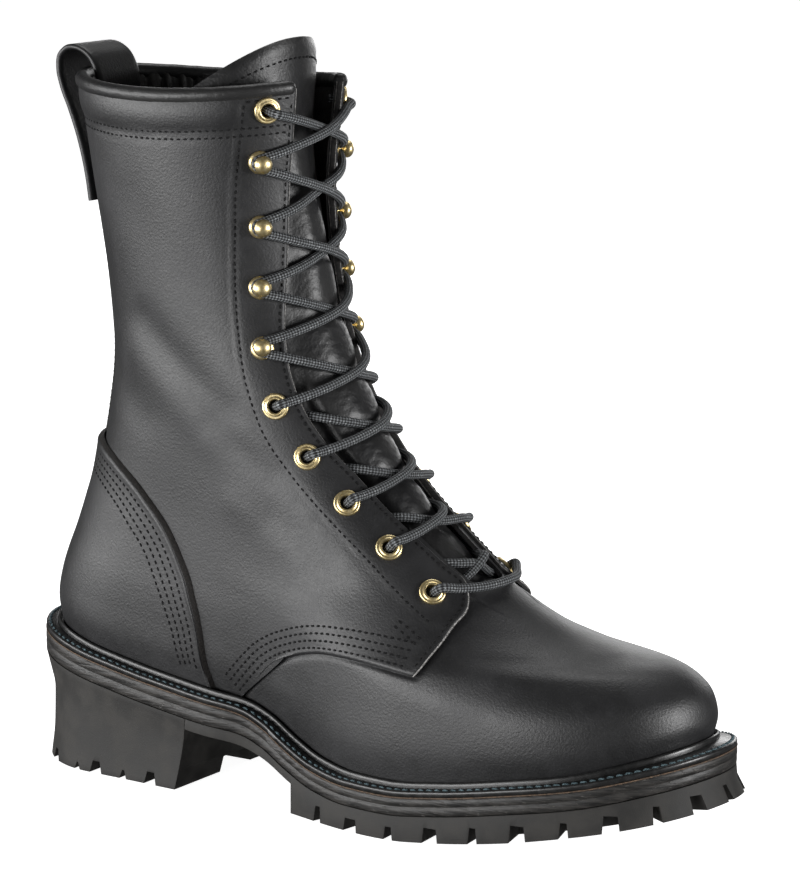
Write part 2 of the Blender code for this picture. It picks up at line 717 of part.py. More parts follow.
def throat_cutter():
    """The throat opening in front view, with a round lower end."""
    low, radius = THROAT_WIDTHS[0]
    angles = np.linspace(math.pi, 2 * math.pi, 9)
    outline = [(radius * math.cos(a), THROAT_FLOOR + radius + radius * math.sin(a)) for a in angles]
    heights = list(np.linspace(low, THROAT_WIDTHS[-1][0], THROAT_STEPS))[1:] + [ABOVE_TOP]
    right = [(throat_half(height), height) for height in heights]
    left = [(-half, height) for half, height in reversed(right)]
    return prism(outline + right + left, *THROAT_CUT, (1, 2))


def hardware_spots(rows):
    """Side, signed distance from the front centre and level of each piece, outer side first."""
    for side in (-1, 1):
        for height, outer, inner in rows:
            distance = -outer if side < 0 else inner
            yield side, distance, UPPER.level_at(distance, height)


def eyelet_holes():
    shapes = []
    for _, distance, level in hardware_spots(EYELETS):
        point, normal = UPPER.frame(distance, level, 0.0)
        verts, faces = turned(HOLE_PROFILE, HARDWARE_SIDES)
        shapes.append((facing(verts, point, normal), faces))
    return shapes


# Top edge of the counter: distance round from the back seam, height
COUNTER_TOP = (
    (0.0, 136.0), (16.0, 134.5), (29.0, 131.5), (48.0, 123.0), (60.0, 114.5), (72.0, 104.5), (82.0, 94.0),
    (93.0, 81.0), (101.0, 68.0), (105.0, 56.0), (106.5, 47.0),
)
COUNTER_ROWS = 6
COUNTER_COLUMNS = 21


def make_counter():
    """The heel counter: a skin over the quarters from the feather line up to a curved top edge."""
    outer = np.zeros((COUNTER_ROWS, COUNTER_COLUMNS, 3))
    inner = np.zeros_like(outer)
    base = QUARTER_STEP + OVERLAY_SEAT
    reach = COUNTER_TOP[-1][0]
    for j, distance in enumerate(np.linspace(-reach, reach, COUNTER_COLUMNS)):
        top = float(smooth_curve(COUNTER_TOP, abs(distance)))
        levels = np.linspace(0.0, counter_level(distance, top), COUNTER_ROWS)
        for i, level in enumerate(levels):
            u = back_place(distance, level)
            outer[i, j] = UPPER.at(u, level, base + OVERLAY)
            inner[i, j] = UPPER.at(u, level, base)
    sheet("counter", outer, inner, LEATHER)


def back_place(distance, level):
    """The girth place that lies a signed distance from the back centre, negative on the outer side."""
    side = 0 if distance < 0 else 1
    girth = np.interp(level, UPPER.levels, UPPER.girth[:, side])
    return (-1 + abs(distance) / girth) if distance < 0 else (1 - abs(distance) / girth)


def counter_level(distance, height):
    heights = [float(UPPER.at(back_place(distance, v), v)[2]) for v in UPPER.levels]
    return float(np.interp(height, heights, UPPER.levels))


STAY_HALF = 10.0
STAY_LOW = 140.0
STAY_HIGH = 226.0
STAY_THICK = 1.2
STAY_COLUMNS = 7


def make_back_stay():
    """The strip that covers the back seam between the counter and the pull loop."""
    low, high = counter_level(0.0, STAY_LOW), counter_level(0.0, STAY_HIGH)
    levels = [low] + [level for level in UPPER_LEVELS if low < level < high] + [high]
    distances = np.linspace(-STAY_HALF, STAY_HALF, STAY_COLUMNS)
    base = QUARTER_STEP + OVERLAY_SEAT
    grids = []
    for offset in (base + STAY_THICK, base):
        grids.append(np.array([[UPPER.at(back_place(d, v), v, offset) for d in distances] for v in levels]))
    sheet("back_stay", grids[0], grids[1], LEATHER)


# Tongue, one row a level at its sides: half its width there, and how much higher its middle is
TONGUE_ROWS = (
    (5.3, 22.0, 0.0), (5.8, 27.0, 0.0), (6.3, 31.0, 0.0), (7.0, 36.0, 0.0), (7.8, 42.0, 0.0), (8.6, 46.0, 0.0),
    (9.4, 50.0, 0.0), (10.1, 57.0, 0.02), (10.6, 64.0, 0.18), (10.95, 69.0, 0.50),
)
TONGUE_COLUMNS = 11
TONGUE_ARCH = 2.4
TONGUE_THICK = 3.0
TONGUE_SWELL = 4.0
TONGUE_CLEARANCE = 1.2
COLLAR_CLEARANCE = 1.6
COLLAR_RECESS = 6.4
CROWN_SHARE = 0.2
SWELL_LEVELS = (6.3, 7.2)
RECESS_LEVELS = (9.4, 10.9)


def tongue_offset(distance, level, share):
    """How far the outside of the tongue stands off the upper's own surface.

    It lies under the upper at its sides, swells out between the sides of the throat and stands
    back from the collar at its top.
    """
    edge = throat_half(float(UPPER.at(UPPER.place(distance, level), level)[2]))
    middle = 1 - float(soft_step(abs(distance), CROWN_SHARE * edge, edge - 1))
    swell = TONGUE_SWELL * middle * float(soft_step(level, *SWELL_LEVELS))
    recess = float(soft_step(level, *RECESS_LEVELS))
    seat = -WALL - TONGUE_CLEARANCE - recess * (COLLAR_CLEARANCE + COLLAR_RECESS * (1 - share ** 2))
    return seat + swell * (1 - recess)


def make_tongue():
    """The tongue: a wide sheet that follows the inside of the upper and rises over its collar."""
    across = np.linspace(-1, 1, TONGUE_COLUMNS)
    outer = np.zeros((len(TONGUE_ROWS), len(across), 3))
    inner = np.zeros_like(outer)
    for i, (side_level, half, rise) in enumerate(TONGUE_ROWS):
        for j, share in enumerate(across):
            distance = share * half
            level = side_level + rise * (1 - abs(share) ** TONGUE_ARCH)
            offset = tongue_offset(distance, level, share)
            u = UPPER.place(distance, level)
            outer[i, j] = UPPER.at(u, level, offset)
            inner[i, j] = UPPER.at(u, level, min(offset, -WALL) - TONGUE_THICK)
    sheet("tongue", outer, inner, TONGUE_LEATHER)


# Collar

# Section of the rolled binding: distance out from the middle of the wall, rise above the collar edge
BINDING_PROFILE = ((-2.4, 0.0), (1.9, 0.0), (2.3, 1.2), (1.4, 2.5), (-0.3, 2.9), (-2.0, 2.5), (-2.8, 1.2))
BINDING_START = THROAT_WIDTHS[-1][1] + 1.5
BINDING_HALF_COLUMNS = 11


def make_binding():
    """The rolled binding that sits on the collar edge, from throat to throat round the back."""
    first = UPPER.place(-BINDING_START, COLLAR)
    last = UPPER.place(BINDING_START, COLLAR)
    outer_half = np.linspace(first, -1, BINDING_HALF_COLUMNS + 1)
    inner_half = np.linspace(1, last, BINDING_HALF_COLUMNS + 1)[1:]
    places = np.concatenate([outer_half, inner_half])
    lines = []
    for offset, rise in BINDING_PROFILE:
        line = UPPER.at(places, float(COLLAR), offset + QUARTER_STEP / 2)
        line[:, 2] += rise + QUARTER_OVERRUN + GAP
        lines.append(line)
    verts = np.concatenate(lines)
    rows, columns = len(BINDING_PROFILE), len(places)
    faces = strip_faces(rows, columns, wrap_rows=True, wrap_columns=False)
    faces.append(tuple(i * columns for i in range(rows)))
    faces.append(tuple(i * columns + columns - 1 for i in range(rows - 1, -1, -1)))
    add_object("collar_binding", verts, faces, TONGUE_LEATHER)


# Pull loop in side view, from the back seam up, over and down inside the collar
LOOP_HALF = 14.5
LOOP_THICK = 2.2
LOOP_PATH = (
    (22.3, 232.0), (21.0, 240.0), (19.0, 249.0), (15.8, 259.5), (11.8, 269.5), (8.0, 278.0), (6.2, 285.0),
    (6.8, 290.5), (10.5, 293.8), (15.5, 294.0), (21.2, 291.2), (25.4, 284.5), (26.8, 272.0),
)


def make_pull_loop():
    """A wide strap from the inside of the collar over the top and down to the back seam."""
    path = np.array(LOOP_PATH)
    tangents = np.gradient(path, axis=0)
    normals = np.stack([-tangents[:, 1], tangents[:, 0]], axis=1)
    normals = normals / np.linalg.norm(normals, axis=1, keepdims=True)
    grids = []
    for side in (0.5, -0.5):
        line = path + normals * LOOP_THICK * side
        grids.append(np.array([[(x, y, z) for y in (-LOOP_HALF, LOOP_HALF)] for x, z in line]))
    sheet("pull_loop", grids[0], grids[1], LEATHER)


# Lacing hardware

# Profiles turned about the axis of each piece: radius, height above the face that it sits on
HARDWARE_SEAT = QUARTER_STEP + OVERLAY_SEAT
BARREL_LENGTH = WALL + HARDWARE_SEAT
EYELET_PROFILE = (
    (EYELET_BORE, -BARREL_LENGTH), (HOLE_RADIUS - GAP, -BARREL_LENGTH), (HOLE_RADIUS - GAP, 0.0),
    (EYELET_RADIUS, 0.0), (EYELET_RADIUS - 0.5, 1.0), (EYELET_BORE + 0.5, 1.2),
)
HOOK_PROFILE = (
    (0, 0.0), (4.4, 0.0), (4.4, 0.9), (2.0, 1.6), (2.0, 4.2), (3.9, 5.8), (3.6, 8.0), (0, 9.4),
)


def make_hardware(kind, profile, rows):
    """One turned brass piece in each row on both sides of the throat."""
    verts, faces = turned(profile, HARDWARE_SIDES)
    for k, (side, distance, level) in enumerate(hardware_spots(rows)):
        point, normal = UPPER.frame(distance, level, HARDWARE_SEAT)
        name = f"{kind}_{'outer' if side < 0 else 'inner'}_{k % len(rows) + 1}"
        add_object(name, facing(verts, point, normal), faces, BRASS)


# Lace: how far its middle lies off the upper, and how far from the hardware its runs end
LACE_CLEARANCE = 0.15
LACE_LIFT = HARDWARE_SEAT + LACE_CLEARANCE + LACE_RADIUS
LACE_POINTS = 8
BAR_END = 7.0
RUN_START = 9.0
RUN_END_AT_HOOK = 9.0
RUN_END_AT_EYELET = 12.0
RUN_PAD_AT_HOOK = 3.4
RUN_PAD_AT_EYELET = 3.0
RUN_OVER = 1.2


def lace_path(start, start_height, end, end_height, rise):
    """A run of lace over the throat, between two distances from the front centre."""
    path = []
    for t in np.linspace(0, 1, LACE_POINTS):
        distance = start + (end - start) * t
        height = start_height + (end_height - start_height) * t
        level = UPPER.level_at(distance, height)
        lift = LACE_LIFT + rise * math.sin(math.pi * t)
        path.append(UPPER.at(UPPER.place(distance, level), level, lift))
    return path


def make_laces():
    """A bar at the lowest eyelets and a crossing between each row and the next one up."""
    rows = sorted(HOOKS + EYELETS)
    height, outer, inner = rows[0]
    bar = tube(lace_path(BAR_END - outer, height, inner - BAR_END, height, 0.0), LACE_RADIUS, LACE_SIDES)
    add_object("lace_bar", *bar, LACE)
    for k, (low, high) in enumerate(zip(rows, rows[1:])):
        pad = RUN_PAD_AT_HOOK if high in HOOKS or low in HOOKS else RUN_PAD_AT_EYELET
        stop = RUN_END_AT_HOOK if high in HOOKS else RUN_END_AT_EYELET
        rising = lace_path(RUN_START - low[1], low[0] + pad, high[2] - stop, high[0] - pad, RUN_OVER)
        falling = lace_path(low[2] - RUN_START, low[0] + pad, stop - high[1], high[0] - pad, 0.0)
        crossing = add_object(f"lace_cross_{k + 1}", *tube(rising, LACE_RADIUS, LACE_SIDES), LACE)
        under = add_object(f"lace_under_{k + 1}", *tube(falling, LACE_RADIUS, LACE_SIDES))
        boolean(crossing, under, "UNION")


def stand_on_origin():
    """Moves the boot so that the origin is under the middle of its box, on the floor."""
    bpy.context.view_layer.update()
    graph = bpy.context.evaluated_depsgraph_get()
    corners = []
    for item in BOOT.children:
        if not item.hide_render:
            corners += [v.co.copy() for v in item.evaluated_get(graph).data.vertices]
    points = np.array(corners)
    low, high = points.min(axis=0), points.max(axis=0)
    BOOT.location = (-(low[0] + high[0]) / 2, -(low[1] + high[1]) / 2, -low[2])


for old in list(bpy.data.objects):
    bpy.data.objects.remove(old)
BOOT = bpy.data.objects.new("boot", None)
bpy.context.collection.objects.link(BOOT)

LEATHER = new_material("black_leather", (0.03, 0.03, 0.032), 0.5)
TONGUE_LEATHER = new_material("soft_black_leather", (0.02, 0.02, 0.021), 0.35)
WELT_LEATHER = new_material("welt_leather", (0.02, 0.02, 0.02), 0.3)
LEATHER_EDGE = new_material("midsole_leather", (0.06, 0.055, 0.05), 0.6)
RUBBER = new_material("black_rubber", (0.045, 0.042, 0.038), 0.75)
INSOLE = new_material("insole_leather", (0.16, 0.11, 0.07), 0.7)
BRASS = new_material("brass", (0.72, 0.55, 0.28), 0.3, metallic=1.0)
LACE = new_material("lace_braid", (0.06, 0.065, 0.07), 0.8)

make_midsole()
make_welt()
make_insole()
make_heel()
make_outsole()
make_upper()
make_counter()
make_back_stay()
make_tongue()
make_binding()
make_pull_loop()
make_hardware("eyelet", EYELET_PROFILE, EYELETS)
make_hardware("hook", HOOK_PROFILE, HOOKS)
make_laces()
stand_on_origin()
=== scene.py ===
"""The looks of the wildland fire boot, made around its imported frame.

Shapes are worked out in millimetres in the boot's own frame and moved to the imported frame's place
where meshes are made: X runs from heel to toe and is 0 at the back of the sole, Y runs to the inner
side of this right foot, Z runs up from the floor. Leather pieces are drawn on the last, which is a
function of a girth place u and a level v, with offsets along its normals.
"""

import math

import bmesh
import bpy
import numpy as np
from mathutils import Matrix, Vector


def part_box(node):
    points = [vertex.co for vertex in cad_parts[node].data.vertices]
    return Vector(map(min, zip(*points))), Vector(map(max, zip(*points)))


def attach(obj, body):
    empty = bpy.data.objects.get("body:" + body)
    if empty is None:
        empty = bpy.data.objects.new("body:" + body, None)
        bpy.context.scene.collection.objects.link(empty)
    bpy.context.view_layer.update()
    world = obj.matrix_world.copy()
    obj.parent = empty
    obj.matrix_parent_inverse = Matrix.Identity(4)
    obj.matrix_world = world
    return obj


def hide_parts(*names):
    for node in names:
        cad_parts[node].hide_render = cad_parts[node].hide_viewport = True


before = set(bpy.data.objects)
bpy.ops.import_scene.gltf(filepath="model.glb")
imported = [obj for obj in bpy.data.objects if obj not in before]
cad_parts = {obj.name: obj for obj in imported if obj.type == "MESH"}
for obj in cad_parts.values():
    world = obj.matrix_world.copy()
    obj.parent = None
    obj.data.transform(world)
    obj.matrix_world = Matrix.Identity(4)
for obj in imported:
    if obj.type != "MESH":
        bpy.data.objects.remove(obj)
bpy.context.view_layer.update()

MM = 0.001

# The last: the same sections, feather line and tread as the solids have
HEEL_X = 40.0
WAIST_X = 118.0
BALL_X = 192.0
TOE_SWING = 7.0
TOE_SWING_START = 150.0
TOE_SWING_END = 300.0
SECTION_COLUMNS = (
    "back_x", "back_z", "front_x", "front_z", "heel", "waist_out", "waist_in",
    "ball_out", "ball_in", "front_round", "back_round", "follow", "dip",
)
SECTIONS = (
    (9.0, 57.6, 298.0, 41.6, 30.0, 32.8, 25.8, 47.5, 45.0, 67.0, 33.0, 1.00, 0.0),
    (7.5, 68.0, 299.5, 51.0, 32.5, 34.8, 28.8, 49.5, 47.0, 70.0, 34.0, 0.85, 0.0),
    (9.0, 78.0, 295.0, 62.5, 33.0, 35.8, 30.8, 49.0, 46.5, 75.0, 35.0, 0.65, 0.0),
    (12.0, 87.5, 283.0, 71.5, 33.0, 36.3, 31.8, 48.0, 46.0, 100.0, 36.0, 0.48, 0.0),
    (16.0, 98.0, 261.0, 75.5, 32.5, 36.3, 32.8, 47.0, 45.0, 120.0, 37.0, 0.32, 0.0),
    (20.0, 110.0, 236.0, 81.5, 32.0, 36.3, 33.8, 46.0, 44.0, 120.0, 38.0, 0.18, 0.0),
    (25.0, 126.0, 210.0, 94.0, 32.0, 36.3, 34.8, 43.0, 42.0, 96.0, 40.0, 0.06, 0.0),
    (29.5, 147.0, 169.5, 126.0, 33.5, 36.8, 35.8, 41.0, 41.0, 62.0, 43.0, 0.0, 0.0),
    (32.2, 172.0, 147.0, 158.0, 35.3, 37.8, 36.8, 39.0, 39.0, 48.0, 46.0, 0.0, 0.0),
    (29.7, 205.0, 130.0, 195.0, 38.3, 39.3, 38.8, 40.0, 40.0, 46.0, 50.0, 0.0, 0.0),
    (23.2, 245.0, 123.0, 240.0, 41.8, 41.8, 41.8, 41.8, 41.8, 46.0, 52.0, 0.0, 0.0),
    (16.7, 283.0, 126.0, 285.0, 44.8, 44.8, 44.8, 44.8, 44.8, 48.0, 55.0, 0.0, 3.5),
)
COLLAR = len(SECTIONS) - 1
RISE_ABOVE_COLLAR = 40.0
END_EASE = 1.25
FEATHER_LINE = (
    (9.0, 57.6), (28.0, 53.1), (46.0, 49.1), (65.0, 45.6), (90.0, 42.1), (112.0, 39.1), (126.0, 34.1),
    (140.0, 27.1), (155.0, 22.1), (172.0, 20.1), (190.0, 20.1), (210.0, 22.1), (240.0, 27.1),
    (265.0, 31.6), (285.0, 37.4), (298.0, 41.6),
)
TREAD_LINE = (
    (140.0, 0.0), (194.0, 0.0), (206.0, 0.9), (240.0, 5.4), (259.0, 8.8), (273.0, 11.6),
    (291.0, 15.6), (303.0, 18.6), (314.0, 21.5),
)

# Leather thicknesses and the sole's layers
GAP = 0.3
WALL = 1.8
QUARTER_STEP = 1.2
OVERLAY_SEAT = 0.9
OVERLAY = 1.4
WELT_THICK = 2.7
MIDSOLE_FORE = 7.0
MIDSOLE_HEEL = 8.4
MIDSOLE_THINS = (90, 150)
OUTSOLE_BASE = 4.2
FIRST_LUG_X = 141.0
BREAST_TOP_X = 90.0
BREAST_BOTTOM_X = 85.5
BELOW_FLOOR = -5.0
BEYOND_SIDES = 90.0

# Throat, one row a height: half its width across the boot
THROAT_FLOOR = 88.0
THROAT_ROUND = 14.5
THROAT_WIDTHS = (
    (102.0, 14.5), (115.0, 17.2), (130.0, 19.2), (145.0, 23.5), (160.0, 26.0), (175.0, 25.5), (200.0, 20.8),
    (225.0, 17.2), (250.0, 15.7), (285.0, 16.5),
)

# Hooks and eyelets, one row a pair: height, distance from the front centre on the outer and the inner side
HOOKS = ((255.9, 29.6, 34.0), (230.1, 29.3, 34.0), (206.2, 31.9, 35.0), (182.5, 36.9, 38.0))
EYELETS = (
    (276.4, 28.9, 30.0), (160.2, 41.2, 41.2), (141.0, 38.4, 38.0), (123.8, 35.7, 34.8), (107.9, 35.7, 33.0),
    (92.4, 36.8, 31.5),
)
HARDWARE_SEAT = QUARTER_STEP + OVERLAY_SEAT
LACE_RADIUS = 1.85


# Curves

def smooth_curve(points, x):
    """Value at x of a smooth curve through a few (x, value) points that never overshoots them."""
    xs, ys = (np.array(values, float) for values in zip(*points))
    x = np.clip(np.asarray(x, float), xs[0], xs[-1])
    step = np.diff(xs)
    slope = np.diff(ys) / step
    tangent = np.zeros(len(xs))
    tangent[0], tangent[-1] = slope[0], slope[-1]
    for i in range(1, len(xs) - 1):
        if slope[i - 1] * slope[i] > 0:
            before = 2 * step[i] + step[i - 1]
            after = step[i] + 2 * step[i - 1]
            tangent[i] = (before + after) / (before / slope[i - 1] + after / slope[i])
    i = np.clip(np.searchsorted(xs, x) - 1, 0, len(step) - 1)
    return hermite((x - xs[i]) / step[i], ys[i], ys[i + 1], step[i] * tangent[i], step[i] * tangent[i + 1])


def hermite(t, start, end, start_slope, end_slope):
    return ((1 + 2 * t) * (1 - t) ** 2 * start + t * (1 - t) ** 2 * start_slope
            + t * t * (3 - 2 * t) * end + t * t * (t - 1) * end_slope)


def soft_step(x, start, end):
    t = np.clip((np.asarray(x, float) - start) / (end - start), 0, 1)
    return t * t * (3 - 2 * t)


def bell(x, middle, width):
    """1 at a middle, falling off to nothing on both sides."""
    return np.exp(-((x - middle) / width) ** 2)


def unit(vectors):
    return vectors / np.linalg.norm(vectors, axis=-1, keepdims=True)


def run_of(points):
    """Distance along a line of points, from its first one."""
    return np.concatenate([[0], np.cumsum(np.linalg.norm(np.diff(points, axis=0), axis=1))])


def along(values, run, wanted):
    return np.stack([np.interp(wanted, run, values[:, k]) for k in range(values.shape[1])], axis=1)


def spline(points, count, run=None):
    """Points of a smooth curve through the given ones, evenly spaced over its run."""
    points = np.asarray(points, float)
    run = run_of(points) if run is None else run
    tangents = np.gradient(points, run, axis=0)
    wanted = np.linspace(0, run[-1], count)
    i = np.clip(np.searchsorted(run, wanted, side="right") - 1, 0, len(points) - 2)
    step = (run[i + 1] - run[i])[:, None]
    t = (wanted - run[i])[:, None] / step
    return hermite(t, points[i], points[i + 1], tangents[i] * step, tangents[i + 1] * step)


def feather_height(x):
    return smooth_curve(FEATHER_LINE, x)


def tread_height(x):
    return smooth_curve(TREAD_LINE, x)


# The last

def section(level):
    rows = np.array(SECTIONS)
    tangents = np.gradient(rows, axis=0)
    i = int(min(max(math.floor(level), 0), COLLAR - 1))
    values = hermite(level - i, rows[i], rows[i + 1], tangents[i], tangents[i + 1])
    return dict(zip(SECTION_COLUMNS, values))


def round_end(distance, length):
    t = np.clip(distance / (END_EASE * length), 0, 1)
    return np.sqrt(1 - (1 - t) ** (2 * END_EASE))


def half_girth(level, side, count):
    """Evenly spaced points of a section from front centre to back centre; side -1 is the outer side."""
    row = section(min(level, COLLAR))
    share = (1 + np.cos(np.linspace(0, math.pi, 900))) / 2
    length = row["front_x"] - row["back_x"]
    x = row["back_x"] + length * share
    first, last = FEATHER_LINE[0], FEATHER_LINE[-1]
    straight = np.interp(x, (first[0], last[0]), (first[1], last[1]))
    z = row["back_z"] + (row["front_z"] - row["back_z"]) * share
    z = z + row["follow"] * (feather_height(x) - straight) - row["dip"] * 4 * share * (1 - share)
    z = z + max(level - COLLAR, 0) * RISE_ABOVE_COLLAR
    waist, ball = ("waist_out", "ball_out") if side < 0 else ("waist_in", "ball_in")
    width = row["heel"] + (row[waist] - row["heel"]) * soft_step(x, HEEL_X, WAIST_X)
    width = width + (row[ball] - row[waist]) * soft_step(x, WAIST_X, BALL_X)
    width = width * round_end((1 - share) * length, row["front_round"])
    width = width * round_end(share * length, row["back_round"])
    y = TOE_SWING * soft_step(x, TOE_SWING_START, TOE_SWING_END) + side * width
    points = np.stack([x, y, z], axis=1)
    run = run_of(points)
    return along(points, run, np.linspace(0, run[-1], count)), run[-1]


class Last:
    """Points and normals of the last at a girth place u and a level v.

    u runs from -1 (back centre) along the outer side to 0 (front centre) and along the inner
    side to 1 (back centre again). Levels past the collar rise straight up.
    """

    HALF = 300
    ROWS = 361
    TOP = COLLAR + 1.0

    def __init__(self):
        self.levels = np.linspace(0, self.TOP, self.ROWS)
        rows, self.girth = [], []
        for level in self.levels:
            outer, outer_run = half_girth(level, -1, self.HALF + 1)
            inner, inner_run = half_girth(level, 1, self.HALF + 1)
            rows.append(np.concatenate([outer[::-1], inner[1:]]))
            self.girth.append((outer_run, inner_run))
        self.points = np.array(rows)
        self.girth = np.array(self.girth)
        wrapped = np.concatenate([self.points[:, -2:-1], self.points, self.points[:, 1:2]], axis=1)
        normals = np.cross(wrapped[:, 2:] - wrapped[:, :-2], np.gradient(self.points, axis=0))
        normals[0, :, 2] = 0
        normals[self.levels >= COLLAR, :, 2] = 0
        self.normals = unit(normals)

    def half_run(self, side, level):
        """Length of a half girth; side is negative for the outer half."""
        outer = np.interp(level, self.levels, self.girth[:, 0])
        inner = np.interp(level, self.levels, self.girth[:, 1])
        return np.where(np.asarray(side) < 0, outer, inner)

    def front_place(self, distance, level):
        """The girth place a signed distance from the front centre, negative on the outer side."""
        return distance / self.half_run(distance, level)

    def back_place(self, distance, level):
        """The girth place a signed distance from the back centre, negative on the outer side."""
        share = np.abs(distance) / self.half_run(distance, level)
        return np.where(np.asarray(distance) < 0, share - 1, 1 - share)

    def blend(self, grid, u, level):
        column = np.clip((np.asarray(u, float) + 1) * self.HALF, 0, 2 * self.HALF - 1e-6)
        row = np.clip(np.asarray(level, float) / self.TOP * (self.ROWS - 1), 0, self.ROWS - 1 - 1e-6)
        column, row = np.broadcast_arrays(column, row)
        j, i = column.astype(int), row.astype(int)
        s, t = (column - j)[..., None], (row - i)[..., None]
        low = grid[i, j] * (1 - s) + grid[i, j + 1] * s
        high = grid[i + 1, j] * (1 - s) + grid[i + 1, j + 1] * s
        return low * (1 - t) + high * t

    def normal(self, u, level):
        return unit(self.blend(self.normals, u, level))

    def at(self, u, level, offset=0.0):
        out = self.normal(u, level) * np.asarray(offset, float)[..., None]
        return self.blend(self.points, u, level) + out

    def level_at(self, distance, height, place):
        """The level at which the line a distance from the front or back centre reaches a height."""
        heights = self.blend(self.points, place(distance, self.levels), self.levels)[:, 2]
        return float(np.interp(height, heights, self.levels))

    def front_spot(self, distance, height):
        level = self.level_at(distance, height, self.front_place)
        return float(self.front_place(distance, level)), level

    def back_spot(self, distance, height):
        level = self.level_at(distance, height, self.back_place)
        return float(self.back_place(distance, level)), level

    def side_spot(self, side, x, z):
        """Girth place and level of the point that the side view shows at x, z."""
        first = 0 if side < 0 else self.HALF
        half = self.points[:, first:first + self.HALF + 1]
        off = (half[..., 0] - x) ** 2 + (half[..., 2] - z) ** 2
        row, column = np.unravel_index(np.argmin(off), off.shape)
        u, v = (first + column) / self.HALF - 1, float(self.levels[row])
        step = 0.004
        for _ in range(4):
            here = self.at(u, v)[[0, 2]]
            by_u = (self.at(u + step, v)[[0, 2]] - here) / step
            by_v = (self.at(u, v + step)[[0, 2]] - here) / step
            move = np.linalg.solve(np.stack([by_u, by_v], axis=1), np.array([x, z]) - here)
            u, v = float(np.clip(u + move[0], -1, 1)), float(np.clip(v + move[1], 0, self.TOP))
        return u, v


LAST = Last()


def place_of(row, side):
    """Distance from the front centre and height, on one side, of a row of hooks or eyelets."""
    return (row[1] if side < 0 else row[2]), row[0]


def hardware_spot(row, side):
    distance, height = place_of(row, side)
    return LAST.front_spot(side * distance, height)


def throat_half(height):
    """Half the width of the throat at a height; its lower end is round."""
    below = np.clip((THROAT_FLOOR + THROAT_ROUND - np.asarray(height, float)) / THROAT_ROUND, 0, 1)
    return smooth_curve(THROAT_WIDTHS, height) * np.sqrt(1 - below ** 2)


def throat_edge(side, height):
    """Distance from the front centre to the edge of the throat at a height."""
    distances = np.linspace(0, 45, 46)
    across = [side * LAST.at(*LAST.front_spot(side * distance, height))[1] for distance in distances]
    return float(np.interp(throat_half(height), across, distances))


THROAT_EDGES = {
    side: [(height, throat_edge(side, height)) for height in np.arange(94.0, 290.0, 7.0)] for side in (-1, 1)
}


# Distance from the front centre to the edge of the throat at the collar
COLLAR_EDGES = {side: edges[-1][1] for side, edges in THROAT_EDGES.items()}


def edge_at(side, height):
    """Distances of the throat's edge, on either side, at many heights."""
    outer, inner = smooth_curve(THROAT_EDGES[-1], height), smooth_curve(THROAT_EDGES[1], height)
    return np.where(np.asarray(side) < 0, outer, inner)


# Where the boot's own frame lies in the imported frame
INSOLE_EDGE = -4.6
SHIFT = np.array([
    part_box("insole")[0].x / MM - (SECTIONS[0][0] - INSOLE_EDGE),
    (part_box("pull_loop")[0].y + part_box("pull_loop")[1].y) / 2 / MM,
    0.0,
])


# Meshes

SHARP_EDGE = 50.0
ROUNDED_EDGE = 35.0


def grid_faces(rows, columns, wrap_rows=False, wrap_columns=False):
    """Quads of a grid of rows by columns points."""
    i = np.arange(rows if wrap_rows else rows - 1)[:, None]
    j = np.arange(columns if wrap_columns else columns - 1)[None, :]
    up, right = (i + 1) % rows, (j + 1) % columns
    corners = (i * columns + j, i * columns + right, up * columns + right, up * columns + j)
    return np.stack(np.broadcast_arrays(*corners), axis=-1).reshape(-1, 4).tolist()


def ladder(first, count):
    """Cap of a ring that starts at a centre point: rungs from one side to the other."""
    half = count // 2
    rungs = half if count % 2 else half - 1
    faces = [(first, first + 1, first + count - 1)]
    for j in range(1, rungs):
        faces.append((first + j, first + j + 1, first + count - j - 1, first + count - j))
    if count % 2 == 0:
        faces.append((first + half - 1, first + half, first + half + 1))
    return faces


def stack(rings):
    """A closed solid lofted through rings, with a laddered cap at both ends."""
    rings = np.array(rings)
    rows, columns = rings.shape[:2]
    faces = grid_faces(rows, columns, wrap_columns=True)
    return rings.reshape(-1, 3), faces + ladder(0, columns) + ladder((rows - 1) * columns, columns)


def hoop(rings):
    """A closed ring whose section runs through the given rings."""
    rings = np.array(rings)
    rows, columns = rings.shape[:2]
    return rings.reshape(-1, 3), grid_faces(rows, columns, wrap_rows=True, wrap_columns=True)


def rod(rings):
    """A closed bar lofted through rings, with flat ends."""
    rings = np.array(rings)
    rows, columns = rings.shape[:2]
    faces = grid_faces(rows, columns, wrap_columns=True)
    faces += [tuple(range(columns)), tuple(rows * columns - 1 - j for j in range(columns))]
    return rings.reshape(-1, 3), faces


def sheet(outer, inner):
    """A closed sheet between two grids of points; its rim faces come last and are counted."""
    rows, columns = outer.shape[:2]
    faces = grid_faces(rows, columns)
    count = rows * columns
    faces += [[count + k for k in reversed(face)] for face in faces]
    rim = list(range(columns))
    rim += [i * columns + columns - 1 for i in range(1, rows)]
    rim += [(rows - 1) * columns + j for j in range(columns - 2, -1, -1)]
    rim += [i * columns for i in range(rows - 2, 0, -1)]
    faces += [[a, b, count + b, count + a] for a, b in zip(rim, rim[1:] + rim[:1])]
    return np.concatenate([outer.reshape(-1, 3), inner.reshape(-1, 3)]), faces, len(rim)


